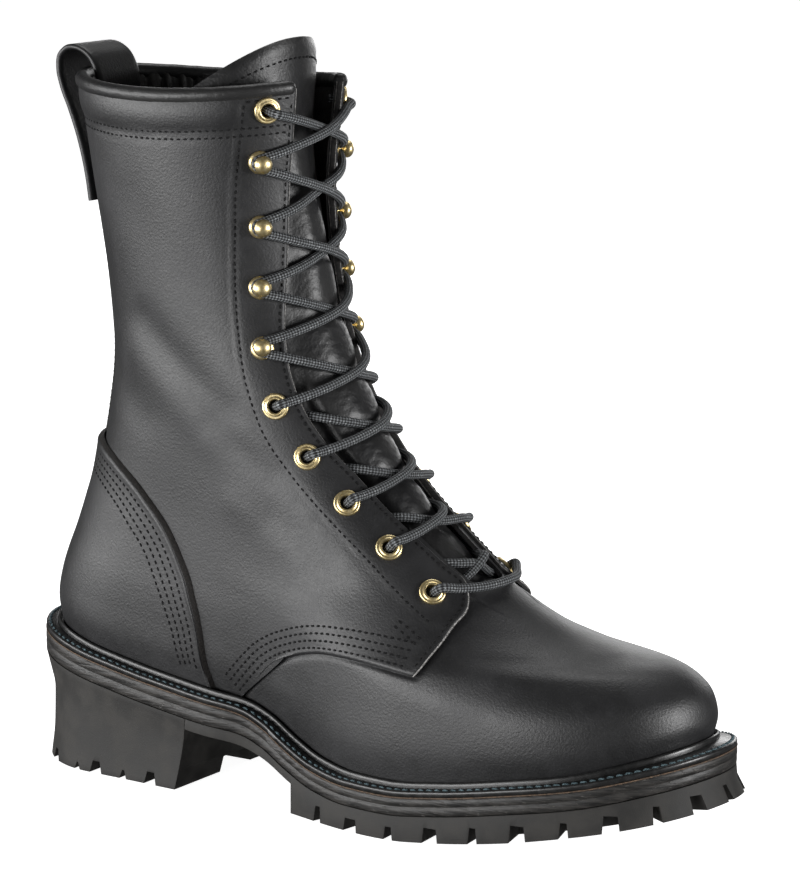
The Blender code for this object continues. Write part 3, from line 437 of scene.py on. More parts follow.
def turned(profile, sides):
    """A ring or knob turned about Z from (radius, height) points; a zero radius closes an end."""
    verts, rows = [], []
    for radius, height in profile:
        if radius == 0:
            rows.append([len(verts)] * sides)
            verts.append((0, 0, height))
            continue
        rows.append([len(verts) + j for j in range(sides)])
        for j in range(sides):
            angle = 2 * math.pi * j / sides
            verts.append((radius * math.cos(angle), radius * math.sin(angle), height))
    pairs = list(zip(rows, rows[1:]))
    if profile[0][0] and profile[-1][0]:
        pairs.append((rows[-1], rows[0]))
    faces = []
    for low, high in pairs:
        for j in range(sides):
            corners = [low[j], low[(j + 1) % sides], high[(j + 1) % sides], high[j]]
            faces.append(tuple(dict.fromkeys(corners)))
    return np.array(verts, float), faces


def facing(verts, point, normal):
    """Turns a shape made about Z to stand on a point along a normal."""
    turn = np.array(Vector((0, 0, 1)).rotation_difference(Vector(normal)).to_matrix())
    return verts @ turn.T + point


def prism(outline, low, high, axes):
    """An outline in two axes extruded along the third, from low to high."""
    count = len(outline)
    verts = np.zeros((2 * count, 3))
    for level, start in ((low, 0), (high, count)):
        verts[start:start + count, axes[0]] = [p[0] for p in outline]
        verts[start:start + count, axes[1]] = [p[1] for p in outline]
        verts[start:start + count, 3 - sum(axes)] = level
    faces = [(j, (j + 1) % count, count + (j + 1) % count, count + j) for j in range(count)]
    faces += [tuple(range(count)), tuple(range(2 * count - 1, count - 1, -1))]
    return verts, faces


def join(shapes):
    """Several (verts, faces) shapes as one mesh."""
    verts, faces, start = [], [], 0
    for shape_verts, shape_faces in shapes:
        verts.append(shape_verts)
        faces += [[start + k for k in face] for face in shape_faces]
        start += len(shape_verts)
    return np.concatenate(verts), faces


def new_mesh(name, verts, faces):
    mesh = bpy.data.meshes.new(name)
    mesh.from_pydata(((np.asarray(verts) + SHIFT) * MM).tolist(), [], faces)
    body = bmesh.new()
    body.from_mesh(mesh)
    bmesh.ops.recalc_face_normals(body, faces=body.faces[:])
    body.to_mesh(mesh)
    body.free()
    return mesh


def smooth(mesh):
    mesh.shade_smooth()
    mesh.set_sharp_from_angle(angle=math.radians(SHARP_EDGE))


def add_piece(name, verts, faces, finishes, slot, replaced=(), rim=0, pale=()):
    """A piece of the boot; its last faces, rim in number, take the second finish, and the pale ones, painted
    highlights, the third.
    """
    mesh = new_mesh(name, verts, faces)
    for finish in finishes:
        mesh.materials.append(finish)
    if rim:
        marks = np.zeros(len(mesh.polygons), int)
        marks[-rim:] = 1
        marks[np.array(pale, int)] = 2
        mesh.polygons.foreach_set("material_index", marks)
    smooth(mesh)
    piece = bpy.data.objects.new(name, mesh)
    bpy.context.collection.objects.link(piece)
    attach(piece, "root")
    if replaced:
        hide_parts(*replaced)
    return piece


def add_sheet(name, outer, inner, finishes, slot, node, pale=()):
    """A sheet of leather between two grids of points; its rim takes the second finish, if there is one."""
    verts, faces, rim = sheet(outer, inner)
    return add_piece(name, verts, faces, finishes, slot, [node], rim if len(finishes) > 1 else 0, pale)


def settle(piece):
    """Applies a piece's modifiers to its mesh."""
    graph = bpy.context.evaluated_depsgraph_get()
    made = bpy.data.meshes.new_from_object(piece.evaluated_get(graph))
    piece.modifiers.clear()
    old, piece.data = piece.data, made
    bpy.data.meshes.remove(old)
    smooth(made)


def cut(piece, shapes, round_edge=0.0):
    """Cuts shapes out of a piece and rounds its hard edges."""
    cutter = bpy.data.objects.new(piece.name + "_cutter", new_mesh("cutter", *join(shapes)))
    bpy.context.collection.objects.link(cutter)
    modifier = piece.modifiers.new("cut", "BOOLEAN")
    modifier.object = cutter
    modifier.solver = "EXACT"
    if round_edge:
        bevel = piece.modifiers.new("round", "BEVEL")
        bevel.width = round_edge * MM
        bevel.segments = 2
        bevel.limit_method = "ANGLE"
        bevel.angle_limit = math.radians(ROUNDED_EDGE)
    settle(piece)
    bpy.data.objects.remove(cutter)


# Finishes

class Shade:
    """A value of a finish; Python's operators on it add Math nodes."""

    def __init__(self, finish, socket):
        self.finish = finish
        self.socket = socket

    def math(self, operation, first, second=0.0):
        return self.finish.node("Math", {"operation": operation}, {0: first, 1: second})

    def __add__(self, other):
        return self.math("ADD", self, other)

    def __sub__(self, other):
        return self.math("SUBTRACT", self, other)

    def __mul__(self, other):
        return self.math("MULTIPLY", self, other)

    __radd__ = __add__
    __rmul__ = __mul__

    def sine(self):
        return self.math("SINE", self)

    def steps(self, start, end):
        """0 below start, 1 above end, smooth between."""
        values = {"Value": self, "From Min": start, "From Max": end}
        return self.finish.node("MapRange", {"interpolation_type": "SMOOTHSTEP"}, values)


class Finish:
    """A material with its shader, and one method that adds any other node."""

    def __init__(self, name):
        self.material = bpy.data.materials.new(name)
        self.material.use_nodes = True
        self.tree = self.material.node_tree
        self.shader = self.tree.nodes["Principled BSDF"]

    def put(self, socket, value):
        if isinstance(value, Shade):
            self.tree.links.new(value.socket, socket)
        else:
            socket.default_value = value

    def node(self, kind, settings, values, output=0):
        node = self.tree.nodes.new("ShaderNode" + kind)
        for name, value in settings.items():
            if name == "stops":
                self.set_stops(node.color_ramp, value)
            else:
                setattr(node, name, value)
        for key, value in values.items():
            self.put(node.inputs[key], value)
        return Shade(self, node.outputs[output])

    def set_stops(self, ramp, stops):
        while len(ramp.elements) < len(stops):
            ramp.elements.new(1.0)
        for element, (place, colour) in zip(ramp.elements, stops):
            element.position = place
            element.color = (*colour, 1.0)

    def place(self, stretch=(1, 1, 1)):
        """Place on the boot in millimetres, divided by a stretch along each axis."""
        where = self.node("TexCoord", {}, {}, "Object")
        scale = tuple(1 / MM / s for s in stretch)
        return self.node("VectorMath", {"operation": "MULTIPLY"}, {0: where, 1: scale})

    def noise(self, size, detail=2.0, stretch=(1, 1, 1)):
        values = {"Vector": self.place(stretch), "Scale": 1 / size, "Detail": detail}
        return self.node("TexNoise", {}, values)

    def cells(self, size):
        """Distance to the middle of the nearest of many small cells, about 0 to 1."""
        values = {"Vector": self.place(), "Scale": 1 / size}
        return self.node("TexVoronoi", {"feature": "SMOOTH_F1"}, values, "Distance")

    def mix(self, share, first, second):
        colours = {0: share, 6: self.colour(first), 7: self.colour(second)}
        return self.node("Mix", {"data_type": "RGBA"}, colours, 2)

    def colour(self, value):
        return value if isinstance(value, Shade) else (*value, 1.0)

    def bump(self, height, depth, strength):
        """Normals of a relief of the given depth in millimetres."""
        values = {"Height": height, "Distance": depth * MM, "Strength": strength}
        return self.node("Bump", {}, values)

    def surface(self, colour, **values):
        self.put(self.shader.inputs["Base Color"], self.colour(colour))
        for name, value in values.items():
            self.put(self.shader.inputs[name.replace("_", " ").title().replace("Ior", "IOR")], value)
        return self.material


def smooth_leather():
    """Oiled black leather of vamp, quarters, counter: fine pores, soft grey sheen, faint rubbed patches."""
    finish = Finish("smooth_leather")
    pores = finish.cells(0.9) * 0.6 + finish.noise(0.45) * 0.4
    wrinkles = finish.noise(1.0, 3.0)
    patches = finish.noise(38.0, 3.0)
    rubbed = (patches * 0.7 + finish.noise(6.0, 4.0) * 0.3).steps(0.38, 0.68)
    colour = finish.mix(rubbed, (0.0055, 0.0055, 0.006), (0.010, 0.010, 0.011))
    relief = pores * 0.6 + wrinkles * 0.4
    return finish.surface(
        colour, roughness=0.41 + rubbed * 0.08 + finish.noise(1.4) * 0.10,
        normal=finish.bump(relief, 0.20, 0.9), specular_ior_level=0.6,
    )


def soft_leather(name, dark, light):
    """Glossy thin leather of tongue, binding and collar lining, with a crinkled grain."""
    finish = Finish(name)
    crinkle = finish.noise(2.6, 4.0)
    pores = finish.cells(0.9)
    patches = finish.noise(17.0, 2.0).steps(0.35, 0.65)
    colour = finish.mix(patches, dark, light)
    return finish.surface(
        colour, roughness=0.36 + crinkle * 0.18, coat_weight=0.06, coat_roughness=0.3,
        normal=finish.bump(crinkle * 0.7 + pores * 0.3, 0.30, 0.85),
    )


def grained(name, dark, light, grain, rough, relief, span=(0.3, 0.7), **values):
    """A finish in which one noise drives all: its size and detail are the grain.

    rough is the least roughness and what the noise adds, relief the depth and strength of the bumps,
    and span the part of the noise over which dark turns light.
    """
    finish = Finish(name)
    noise = finish.noise(*grain)
    return finish.surface(
        finish.mix(noise.steps(*span), dark, light), roughness=rough[0] + noise * rough[1],
        normal=finish.bump(noise, *relief), **values,
    )


def cut_leather(name, dark, light):
    """The raw cut edge of leather: fibrous and matt."""
    return grained(name, dark, light, grain=(0.8, 4.0), rough=(0.62, 0.25), relief=(0.3, 0.8))


def thread(name, dark, light):
    """Waxed sewing thread with its twist."""
    return grained(
        name, dark, light, grain=(0.4, 2.0), rough=(0.6, 0.25), relief=(0.15, 0.8), specular_ior_level=0.15,
    )


def sole_edge():
    """Burnished edge of the leather midsole: level streaks, scuffs and pale flecks."""
    finish = Finish("sole_edge")
    streaks = finish.noise(1.0, 5.0, stretch=(9.0, 9.0, 0.9))
    flecks = finish.noise(0.9, 3.0, stretch=(2.6, 2.6, 0.8)).steps(0.60, 0.78)
    dark = finish.mix(streaks.steps(0.35, 0.68), (0.005, 0.0048, 0.0045), (0.022, 0.020, 0.018))
    return finish.surface(
        finish.mix(flecks * 0.5, dark, (0.09, 0.082, 0.074)), roughness=0.38 + streaks * 0.22,
        normal=finish.bump(streaks * 0.7 + flecks * 0.3, 0.5, 0.8),
    )


def rubber():
    """Moulded black-brown rubber, matt, with a dusty bloom."""
    finish = Finish("rubber")
    bloom = finish.noise(9.0, 5.0)
    speckle = finish.noise(0.5, 2.0)
    colour = finish.mix(bloom.steps(0.35, 0.7), (0.008, 0.0074, 0.0066), (0.018, 0.0165, 0.0145))
    return finish.surface(
        colour, roughness=0.60 + bloom * 0.2, normal=finish.bump(speckle * 0.6 + bloom * 0.4, 0.14, 0.7),
    )


def lace_braid():
    """Round braided lace: dark grey-blue strands crossing both ways, with pale flecks, and painted shade near
    black in the gaps between the strands.
    """
    finish = Finish("lace_braid")
    where = finish.node("UVMap", {"uv_map": "braid"}, {})
    lengthwise, around = (finish.node("SeparateXYZ", {}, {0: where}, axis) for axis in (0, 1))
    turn = 2 * math.pi
    left = ((lengthwise + around) * turn).sine()
    right = ((lengthwise - around) * turn).sine()
    weave_and_gap_shade = left * right * 0.5 + 0.5
    flecks = finish.noise(0.7, 2.0).steps(0.56, 0.74)
    # Painted shade: the colour runs near black in the gaps between the strands and lighter on their crowns
    base = finish.mix(weave_and_gap_shade.steps(0.3, 0.9), (0.002, 0.0022, 0.0025), (0.115, 0.122, 0.128))
    colour = finish.mix(flecks * weave_and_gap_shade.steps(0.3, 0.7) * 0.8, base, (0.36, 0.37, 0.38))
    return finish.surface(
        colour, roughness=0.72 + weave_and_gap_shade * 0.15,
        normal=finish.bump(weave_and_gap_shade * 0.8 + finish.noise(0.3) * 0.2, 0.3, 0.8),
    )


SMOOTH = smooth_leather()
SOFT = soft_leather("soft_leather", (0.005, 0.005, 0.0055), (0.010, 0.0098, 0.0098))
# The lining's colours are painted lighter than the other soft leather: painted light standing in for the
# light that reaches inside the collar
LINING_PAINTED_LIGHTER = soft_leather("lining_leather", (0.014, 0.0135, 0.013), (0.045, 0.043, 0.041))
# Pale cut edge: the tongue's raw rim in its own pale colour, and a painted highlight along the quarters'
# throat and front edges
RAW_EDGE_AND_PAINTED_HIGHLIGHT = cut_leather("pale_edge", (0.06, 0.057, 0.054), (0.28, 0.27, 0.26))
DARK_EDGE = cut_leather("dark_edge", (0.006, 0.006, 0.006), (0.022, 0.020, 0.019))
COUNTER_EDGE = cut_leather("counter_edge", (0.003, 0.0025, 0.002), (0.011, 0.0085, 0.007))
SEAM_LINE = cut_leather("seam_line", (0.03, 0.018, 0.010), (0.10, 0.06, 0.034))
WELT = grained(
    "welt_polish", (0.006, 0.006, 0.006), (0.014, 0.014, 0.014), grain=(3.0, 4.0), rough=(0.28, 0.16),
    relief=(0.12, 0.6), span=(0.4, 0.75), coat_weight=0.1, coat_roughness=0.2,
)
SOLE_EDGE = sole_edge()
RUBBER = rubber()
INSOLE = grained(
    "insole_leather", (0.10, 0.068, 0.042), (0.19, 0.135, 0.085), grain=(5.0, 5.0), rough=(0.6, 0.2),
    relief=(0.2, 0.6),
)
BRASS = grained(
    "brass", (0.80, 0.62, 0.29), (0.95, 0.80, 0.47), grain=(1.1, 4.0), rough=(0.31, 0.15),
    relief=(0.03, 0.5), metallic=1.0,
)
BLACK_THREAD = thread("black_thread", (0.0015, 0.0015, 0.0015), (0.011, 0.011, 0.0115))
WELT_THREAD = thread("welt_thread", (0.010, 0.018, 0.021), (0.11, 0.16, 0.18))
LACE = lace_braid()


# Sewing

STITCH_SIDES = 6

# Rings of a stitch: share of its length from the middle, rise and size as shares of its radius
STITCH_STATIONS = ((-0.5, -1.5, 0.6), (-0.38, -0.4, 0.95), (-0.16, -0.05, 1.05), (0.16, -0.05, 1.05),
                   (0.38, -0.4, 0.95), (0.5, -1.5, 0.6))


def stitches(points, normals, pitch=2.8, length=2.0, radius=0.45, slant=0.0):
    """A row of stitches along points on a surface, each dipping into the leather at both ends."""
    run = run_of(points)
    count = max(int(run[-1] / pitch), 1)
    places = (np.arange(count) + 0.5) * run[-1] / count
    middle = along(points, run, places)
    ahead = along(points, run, np.minimum(places + 0.4, run[-1])) - along(points, run, places - 0.4)
    up = unit(along(normals, run, places))
    level_side = unit(np.cross(up, ahead))
    level_ahead = np.cross(level_side, up)
    cosine, sine = math.cos(math.radians(slant)), math.sin(math.radians(slant))
    ahead = level_ahead * cosine + level_side * sine
    side = level_side * cosine - level_ahead * sine
    angles = 2 * math.pi * np.arange(STITCH_SIDES) / STITCH_SIDES
    local = []
    for share, rise, scale in STITCH_STATIONS:
        for angle in angles:
            local.append((share * length, radius * scale * math.cos(angle),
                          radius * (rise + scale * math.sin(angle))))
    local, faces = rod(np.reshape(local, (-1, STITCH_SIDES, 3)))
    verts = middle[:, None] + (local[None, :, 0:1] * ahead[:, None] + local[None, :, 1:2] * side[:, None]
                               + local[None, :, 2:3] * up[:, None])
    starts = np.arange(count) * len(local)
    return verts.reshape(-1, 3), [[start + k for k in face] for start in starts for face in faces]


def seam(spots, lift):
    """A row of stitches through (u, v) spots on the last, lying on a surface of the given lift."""
    spots = np.asarray(spots, float)
    u, v = spline(spots, 12 * len(spots), run_of(LAST.at(*spots.T))).T
    return stitches(LAST.at(u, v, lift(u, v)), LAST.normal(u, v))


# Sole

RING = np.linspace(-1, 1, 400, endpoint=False)

# Where the quarters and the counter end at the feather line, along X, and how far the welt stands out
QUARTER_FADE = (100, 128)
COUNTER_FADE = (98, 118)
WELT_OUT = 7.3
WELT_TOE_OUT = 2.0
WELT_TOE = (255, 298)


def skin(x):
    """How far the quarters and the counter stand out from the last at the feather line."""
    counter = (OVERLAY + OVERLAY_SEAT) * (1 - soft_step(x, *COUNTER_FADE))
    return QUARTER_STEP * (1 - soft_step(x, *QUARTER_FADE)) + counter


def welt_edge(x):
    return skin(x) + WELT_OUT + WELT_TOE_OUT * soft_step(x, *WELT_TOE)


def sole_ring(offset, places=RING):
    """The feather ring moved by offset(x) in plan; what moves inwards follows the feather line down."""
    base = LAST.at(places, 0.0)
    out = np.broadcast_to(offset(base[:, 0]), len(base))
    ring = base + LAST.normal(places, 0.0) * out[:, None]
    ring[:, 2] = np.where(out < 0, feather_height(ring[:, 0]), ring[:, 2])
    return ring


def raised(ring, rise):
    return ring + np.array([0, 0, 1.0]) * np.broadcast_to(rise, len(ring))[:, None]


def at_heights(ring, heights):
    moved = ring.copy()
    moved[:, 2] = heights
    return moved


def midsole_bottom(ring_height, x):
    thick = MIDSOLE_HEEL + (MIDSOLE_FORE - MIDSOLE_HEEL) * soft_step(x, *MIDSOLE_THINS)
    return ring_height - WELT_THICK - 2 * GAP - thick


# Section of the welt: where a corner is measured from, distance out from there, rise above the feather line
WELT_SECTION = (
    ("last", -4.0, -2.8), ("edge", -0.3, -2.8), ("edge", 0.0, -2.5), ("edge", 0.0, -1.0),
    ("edge", -0.3, -0.45), ("edge", -0.9, -0.3), ("edge", -1.3, -0.5), ("edge", -2.2, -0.5),
    ("edge", -2.6, -0.3),
    ("skin", 2.5, -0.3), ("skin", 2.45, 0.6), ("skin", 2.3, 1.3), ("skin", 2.05, 1.75), ("skin", 1.7, 1.9),
    ("skin", 1.4, 1.6), ("skin", 1.1, 0.8), ("skin", 0.9, -0.3), ("last", -4.0, -0.3),
)

# Section of the midsole's edge: share of the way down, distance out from the welt's edge
MIDSOLE_SECTION = (
    (0.0, -0.45), (0.05, -0.1), (0.18, 0.1), (0.42, 0.15), (0.47, -0.2), (0.51, -0.22), (0.55, 0.0),
    (0.72, 0.1), (0.93, 0.0), (1.0, -0.35),
)

# Seam line under the welt, and the row of stitches on the welt: distance out from the welt's edge, rise
SEAM_STRIP = ((-3.0, -3.3), (0.12, -3.3), (0.22, -3.1), (0.12, -2.85), (-3.0, -2.85))
WELT_ROW = (-1.75, -0.35)
WELT_STITCH = {"pitch": 3.5, "length": 3.3, "radius": 0.52, "slant": -14.0}
INSOLE_LIP = 1.2
INSOLE_RISES = (1.6, 2.6)


def make_welt():
    lines = {"last": lambda x: 0 * x, "edge": welt_edge, "skin": skin}
    rings = []
    for start, out, rise in WELT_SECTION:
        rings.append(raised(sole_ring(lambda x: lines[start](x) + out), rise))
    add_piece("welt_strip", *hoop(rings), [WELT], "welt_leather", ["welt"])
    strip = [raised(sole_ring(lambda x, out=out: welt_edge(x) + out), rise) for out, rise in SEAM_STRIP]
    add_piece("welt_seam_line", *hoop(strip), [SEAM_LINE], "sole_leather")
    line = raised(sole_ring(lambda x: welt_edge(x) + WELT_ROW[0]), WELT_ROW[1])
    line = np.concatenate([line, line[:1]])
    up = np.tile((0, 0, 1.0), (len(line), 1))
    add_piece("welt_stitching", *stitches(line, up, **WELT_STITCH), [WELT_THREAD], "welt_leather")


def make_midsole():
    rings = []
    for share, out in MIDSOLE_SECTION:
        ring = sole_ring(lambda x: welt_edge(x) + out)
        top = ring[:, 2] - WELT_THICK - 2 * GAP
        rings.append(at_heights(ring, top + (midsole_bottom(ring[:, 2], ring[:, 0]) - top) * share))
    add_piece("midsole_edge", *stack(rings), [SOLE_EDGE], "sole_leather", ["midsole"])


def make_insole():
    ring = sole_ring(lambda x: INSOLE_EDGE)
    inner = sole_ring(lambda x: INSOLE_EDGE - INSOLE_LIP)
    side, top = INSOLE_RISES
    rings = [raised(ring, -WELT_THICK - GAP), raised(ring, side), raised(inner, top)]
    add_piece("insole_board", *stack(rings), [INSOLE], "insole", ["insole"])


# Heel block, one row a height: share of the way from seat to floor, how far sides and back stand out
HEEL_BLOCK = ((0.0, 0.0, 0.0), (0.12, -0.6, -1.6), (0.35, -1.2, -4.4), (0.7, -0.6, -4.6), (1.0, 0.6, -3.4))
HEEL_ROUND = 0.6

# Where the back of the heel block turns into its sides, along X
HEEL_BACK = (4, 40)

# Notches in the heel's sides: place, width and height
SIDE_NOTCHES = ((18.0, 5.0, 4.5), (34.0, 3.0, 3.0), (44.0, 6.0, 5.0), (58.0, 3.5, 3.5), (72.0, 6.0, 5.0))
SIDE_NOTCH_INNER = 24.0

# Grooves along the heel, in from the breast and at the back: width and height, start and end
HEEL_CHANNELS = (((22.0, 6.5), (52.0, BREAST_TOP_X + 5)), ((6.0, 4.5), (-16.0, 16.0)))
NOTCH_TAPER = 1.2
HEEL_ROWS = 16
SOLE_HALF_COLUMNS = 120


def breast_place(side):
    u = side * np.linspace(0.02, 0.98, 900)
    return float(np.interp(-BREAST_TOP_X, -LAST.at(u, 0.0)[:, 0], np.abs(u)))


def groove(centre, width, height):
    """Outline of a groove in the floor that narrows upwards."""
    half = width / 2
    return [(centre - half, BELOW_FLOOR), (centre + half, BELOW_FLOOR), (centre + half, 0),
            (centre + half - NOTCH_TAPER, height), (centre - half + NOTCH_TAPER, height), (centre - half, 0)]


def heel_tread():
    """Cutters of the heel's tread: a channel in from the breast, a notch behind, notches up the sides."""
    shapes = [prism(groove(0, *size), *reach, (1, 2)) for size, reach in HEEL_CHANNELS]
    for place, width, height in SIDE_NOTCHES:
        outline = groove(place, width, height)
        shapes.append(prism(outline, -BEYOND_SIDES, -SIDE_NOTCH_INNER, (0, 2)))
        shapes.append(prism(outline, SIDE_NOTCH_INNER, BEYOND_SIDES, (0, 2)))
    return shapes


def make_heel():
    """The heel block: full at the seat, hollow behind, flared again at the floor."""
    places = np.concatenate([np.linspace(-1, -breast_place(-1), SOLE_HALF_COLUMNS),
                             np.linspace(breast_place(1), 1, SOLE_HALF_COLUMNS)[:-1]])
    sides = [(share, side_out) for share, side_out, _ in HEEL_BLOCK]
    backs = [(share, back_out) for share, _, back_out in HEEL_BLOCK]
    rings = []
    for share in np.linspace(0, 1, HEEL_ROWS):
        side_out, back_out = float(smooth_curve(sides, share)), float(smooth_curve(backs, share))

        def edge(x):
            return welt_edge(x) + side_out + (back_out - side_out) * (1 - soft_step(x, *HEEL_BACK))

        ring = sole_ring(edge, places)
        top = midsole_bottom(ring[:, 2], ring[:, 0]) - GAP
        ring = at_heights(ring, top * (1 - share))
        lean = 1 - (1 - BREAST_BOTTOM_X / BREAST_TOP_X) * share
        ring[:, 0] = np.where(ring[:, 0] > 0, ring[:, 0] * lean, ring[:, 0])
        rings.append(ring)
    piece = add_piece("heel_block", *stack(rings), [RUBBER], "rubber", ["heel"])
    cut(piece, heel_tread(), HEEL_ROUND)


LUG_PITCH = 18.2
FIRST_NOTCH = 15.6
LUG_WIDTHS = (5.0, 7.8)
LUG_LEAN_BACK = 0.6
LUG_LEAN_FRONT = 1.8
LUG_NOTCH_LENGTH = 15.0
LUG_OVERRUN = 8.0
LUG_OUT = 1.2
LUG_TOE_OUT = 2.6
LUG_TOE = (250, 300)
LUG_ROOT_OUT = 0.4
LUG_ROUND = 0.45

# Cross channels of the tread: half width, point of the chevron, half length, how much shorter at the toe
CHANNEL_HALF = 3.0
CHANNEL_POINT = 6.0
CHANNEL_REACH = 24.0
CHANNEL_TOE_LESS = 8.0
CHANNEL_TOE = (240, 290)
CHANNEL_PITCH = 26.0
LAST_CHANNEL_X = 285.0


def lug_root(ring_height, x):
    return midsole_bottom(ring_height, x) - GAP - OUTSOLE_BASE


def lug_edge(x):
    return welt_edge(x) + LUG_OUT + LUG_TOE_OUT * soft_step(x, *LUG_TOE)


def shank_space():
    """The room under the arch, from the heel breast to the first lug."""
    start = BREAST_TOP_X - 8.0
    outline = [(x, float(lug_root(feather_height(x), x))) for x in np.linspace(start, FIRST_LUG_X, 20)]
    outline += [(FIRST_LUG_X + NOTCH_TAPER, BELOW_FLOOR), (start, BELOW_FLOOR)]
    return prism(outline, -BEYOND_SIDES, BEYOND_SIDES, (0, 2))


def lug_notches(root, floor):
    """Wedge notches between the edge lugs, wide and narrow in turn, square to the edge."""
    half = len(floor) // 2
    sides = (list(range(half, -1, -1)), list(range(half + 1, len(floor))) + [0])
    shapes = []
    for indices, toe_space in zip(sides, (0.0, LUG_PITCH / 2)):
        line, roots = floor[indices], root[indices]
        line = line[line[:, 0] > FIRST_LUG_X]
        roots = roots[-len(line):]
        run = run_of(line[:, :2])
        for k, place in enumerate(np.arange(FIRST_NOTCH, run[-1] - toe_space, LUG_PITCH)):
            point = along(line, run, [place])[0]
            ahead = along(line[:, :2], run, [place + 1])[0] - point[:2]
            ceiling = float(np.interp(place, run, roots[:, 2])) - GAP
            forward = ahead / np.linalg.norm(ahead)
            inward = np.array([-forward[1], forward[0]])
            if inward @ (np.array([FIRST_LUG_X, 0]) - point[:2]) < 0:
                inward = -inward
            shapes.append(wedge(point, forward, inward, LUG_WIDTHS[k % 2], ceiling))
    return shapes


def wedge(point, forward, inward, width, ceiling):
    """A notch cutter, wide at the floor and narrow at its ceiling."""
    low = point[2] + BELOW_FLOOR
    half = width / 2
    corners = ((-half, low), (half, low), (half - LUG_LEAN_FRONT, ceiling), (LUG_LEAN_BACK - half, ceiling))
    verts = []
    for depth in (-LUG_OVERRUN, LUG_NOTCH_LENGTH):
        for shift, height in corners:
            spot = point[:2] + inward * depth + forward * shift
            verts.append((spot[0], spot[1], height))
    faces = [(0, 1, 2, 3), (7, 6, 5, 4), (0, 4, 5, 1), (1, 5, 6, 2), (2, 6, 7, 3), (3, 7, 4, 0)]
    return np.array(verts), faces


def middle_channels():
    """Cross channels in the middle of the tread, each a shallow chevron."""
    shapes = []
    half, point = CHANNEL_HALF, CHANNEL_POINT
    for x in np.arange(FIRST_LUG_X + LUG_PITCH, LAST_CHANNEL_X, CHANNEL_PITCH):
        centre = TOE_SWING * float(soft_step(x, TOE_SWING_START, TOE_SWING_END))
        reach = CHANNEL_REACH - CHANNEL_TOE_LESS * float(soft_step(x, *CHANNEL_TOE))
        low = float(tread_height(x)) + BELOW_FLOOR
        high = float(lug_root(feather_height(x), x)) - 2 * GAP
        outline = [(x - half, centre - reach), (x + half, centre - reach), (x + half + point, centre),
                   (x + half, centre + reach), (x - half, centre + reach), (x - half + point, centre)]
        shapes.append(prism(outline, low, high, (0, 1)))
    return shapes


def make_outsole():
    """The forefoot sole: a thin tail to the heel, then lugs round the edge and down the middle."""
    outer = np.linspace(0, -breast_place(-1), SOLE_HALF_COLUMNS)
    inner = np.linspace(breast_place(1), 0, SOLE_HALF_COLUMNS)[:-1]
    places = np.concatenate([outer, inner])
    top = sole_ring(welt_edge, places)
    root = sole_ring(lambda x: welt_edge(x) + LUG_ROOT_OUT, places)
    low = sole_ring(lug_edge, places)
    rings = [at_heights(top, midsole_bottom(top[:, 2], top[:, 0]) - GAP),
             at_heights(root, lug_root(root[:, 2], root[:, 0])),
             at_heights(low, tread_height(low[:, 0]))]
    for ring in rings:
        ring[SOLE_HALF_COLUMNS - 1:SOLE_HALF_COLUMNS + 1, 0] += GAP
    piece = add_piece("lug_sole", *stack(rings), [RUBBER], "rubber", ["outsole"])
    cut(piece, [shank_space()])
    cut(piece, lug_notches(rings[1], rings[2]))
    cut(piece, middle_channels(), LUG_ROUND)


# Quarters

# Edge of a quarter in side view: forward from its tip towards the corner, and back from its tip to the sole
QUARTER_FRONT = ((198.0, 63.8), (202.2, 71.5), (205.2, 80.0))
QUARTER_LOWER = (
    (198.0, 63.8), (183.5, 65.6), (164.5, 66.6), (150.0, 65.6), (137.0, 62.0), (126.0, 56.5), (117.0, 47.5),
)
QUARTER_LOW_END_X = 110.0

# Round corner of a quarter beside the lowest eyelet: height, distance past the edge of the throat
QUARTER_CORNER = ((86.0, 15.5), (91.0, 6.5), (95.5, 1.5))
CORNER_TOP = 94.0
THROAT_LINE = (101.0, 108.0, 120.0, 133.0, 147.0, 160.0, 172.0, 188.0, 210.0, 232.0, 256.0)

# Outer stitch line of the eyestay: height, distance from the front centre
EYESTAY_LINE = (
    (82.0, 55.5), (92.5, 53.5), (105.5, 51.8), (118.0, 51.5), (132.0, 51.2), (152.0, 52.0), (166.5, 50.0),
    (189.5, 44.3), (205.5, 41.6), (229.0, 39.0), (257.0, 38.0), (300.0, 38.0),
)
INNER_SHIFT = sorted((height, inner - outer) for height, outer, inner in HOOKS + EYELETS)
EYESTAY_STEP = 0.35
COLLAR_BAND = 13.8
COLLAR_ROWS = (COLLAR_BAND, COLLAR_BAND + 3.0)
COLLAR_EDGE_ROW = 3.2

# How deep rows of stitches pull the leather in, and how wide
EYESTAY_PULL = 0.25
COLLAR_PULL = 0.22
STITCH_PULL_WIDTH = 0.8

# Worked edge of a quarter: how far the edge is rounded down, the ridge behind it, and its pale inner corner
EDGE_DROP = 0.4
EDGE_RIDGE = 0.25
EDGE_RIDGE_IN = 1.5
EDGE_RIDGE_WIDTH = 1.1
EDGE_PALE = 0.5
WAIST_FADE = 14
WAIST_CLEAR = 20.0

# Inner face of a quarter: its lift over the wall and over the vamp, and how far in it lies on the vamp
QUARTER_INSIDE = -1.5
ON_VAMP = 0.08
ON_VAMP_REACH = (10, 16)
VAMP_TOP = THROAT_FLOOR + 6
FAR_OFF = 99.0
EYELET_HOLE = ((0, -8.0), (3.1, -8.0), (3.1, 8.0), (0, 8.0))

# Soft creases of the quarters in side view: ends, half width and depth, a ridge having a negative depth
CREASES = (
    (64.0, 190.0, 104.0, 158.0, 8.0, 0.9), (58.0, 176.0, 96.0, 146.0, 8.0, -0.5),
    (98.0, 150.0, 126.0, 133.0, 6.0, 0.55), (126.0, 114.0, 160.0, 92.0, 9.0, 0.7),
    (40.0, 168.0, 62.0, 150.0, 9.0, 0.5), (110.0, 120.0, 140.0, 101.0, 7.0, -0.45),
    (60.0, 236.0, 84.0, 214.0, 14.0, 0.5),
)


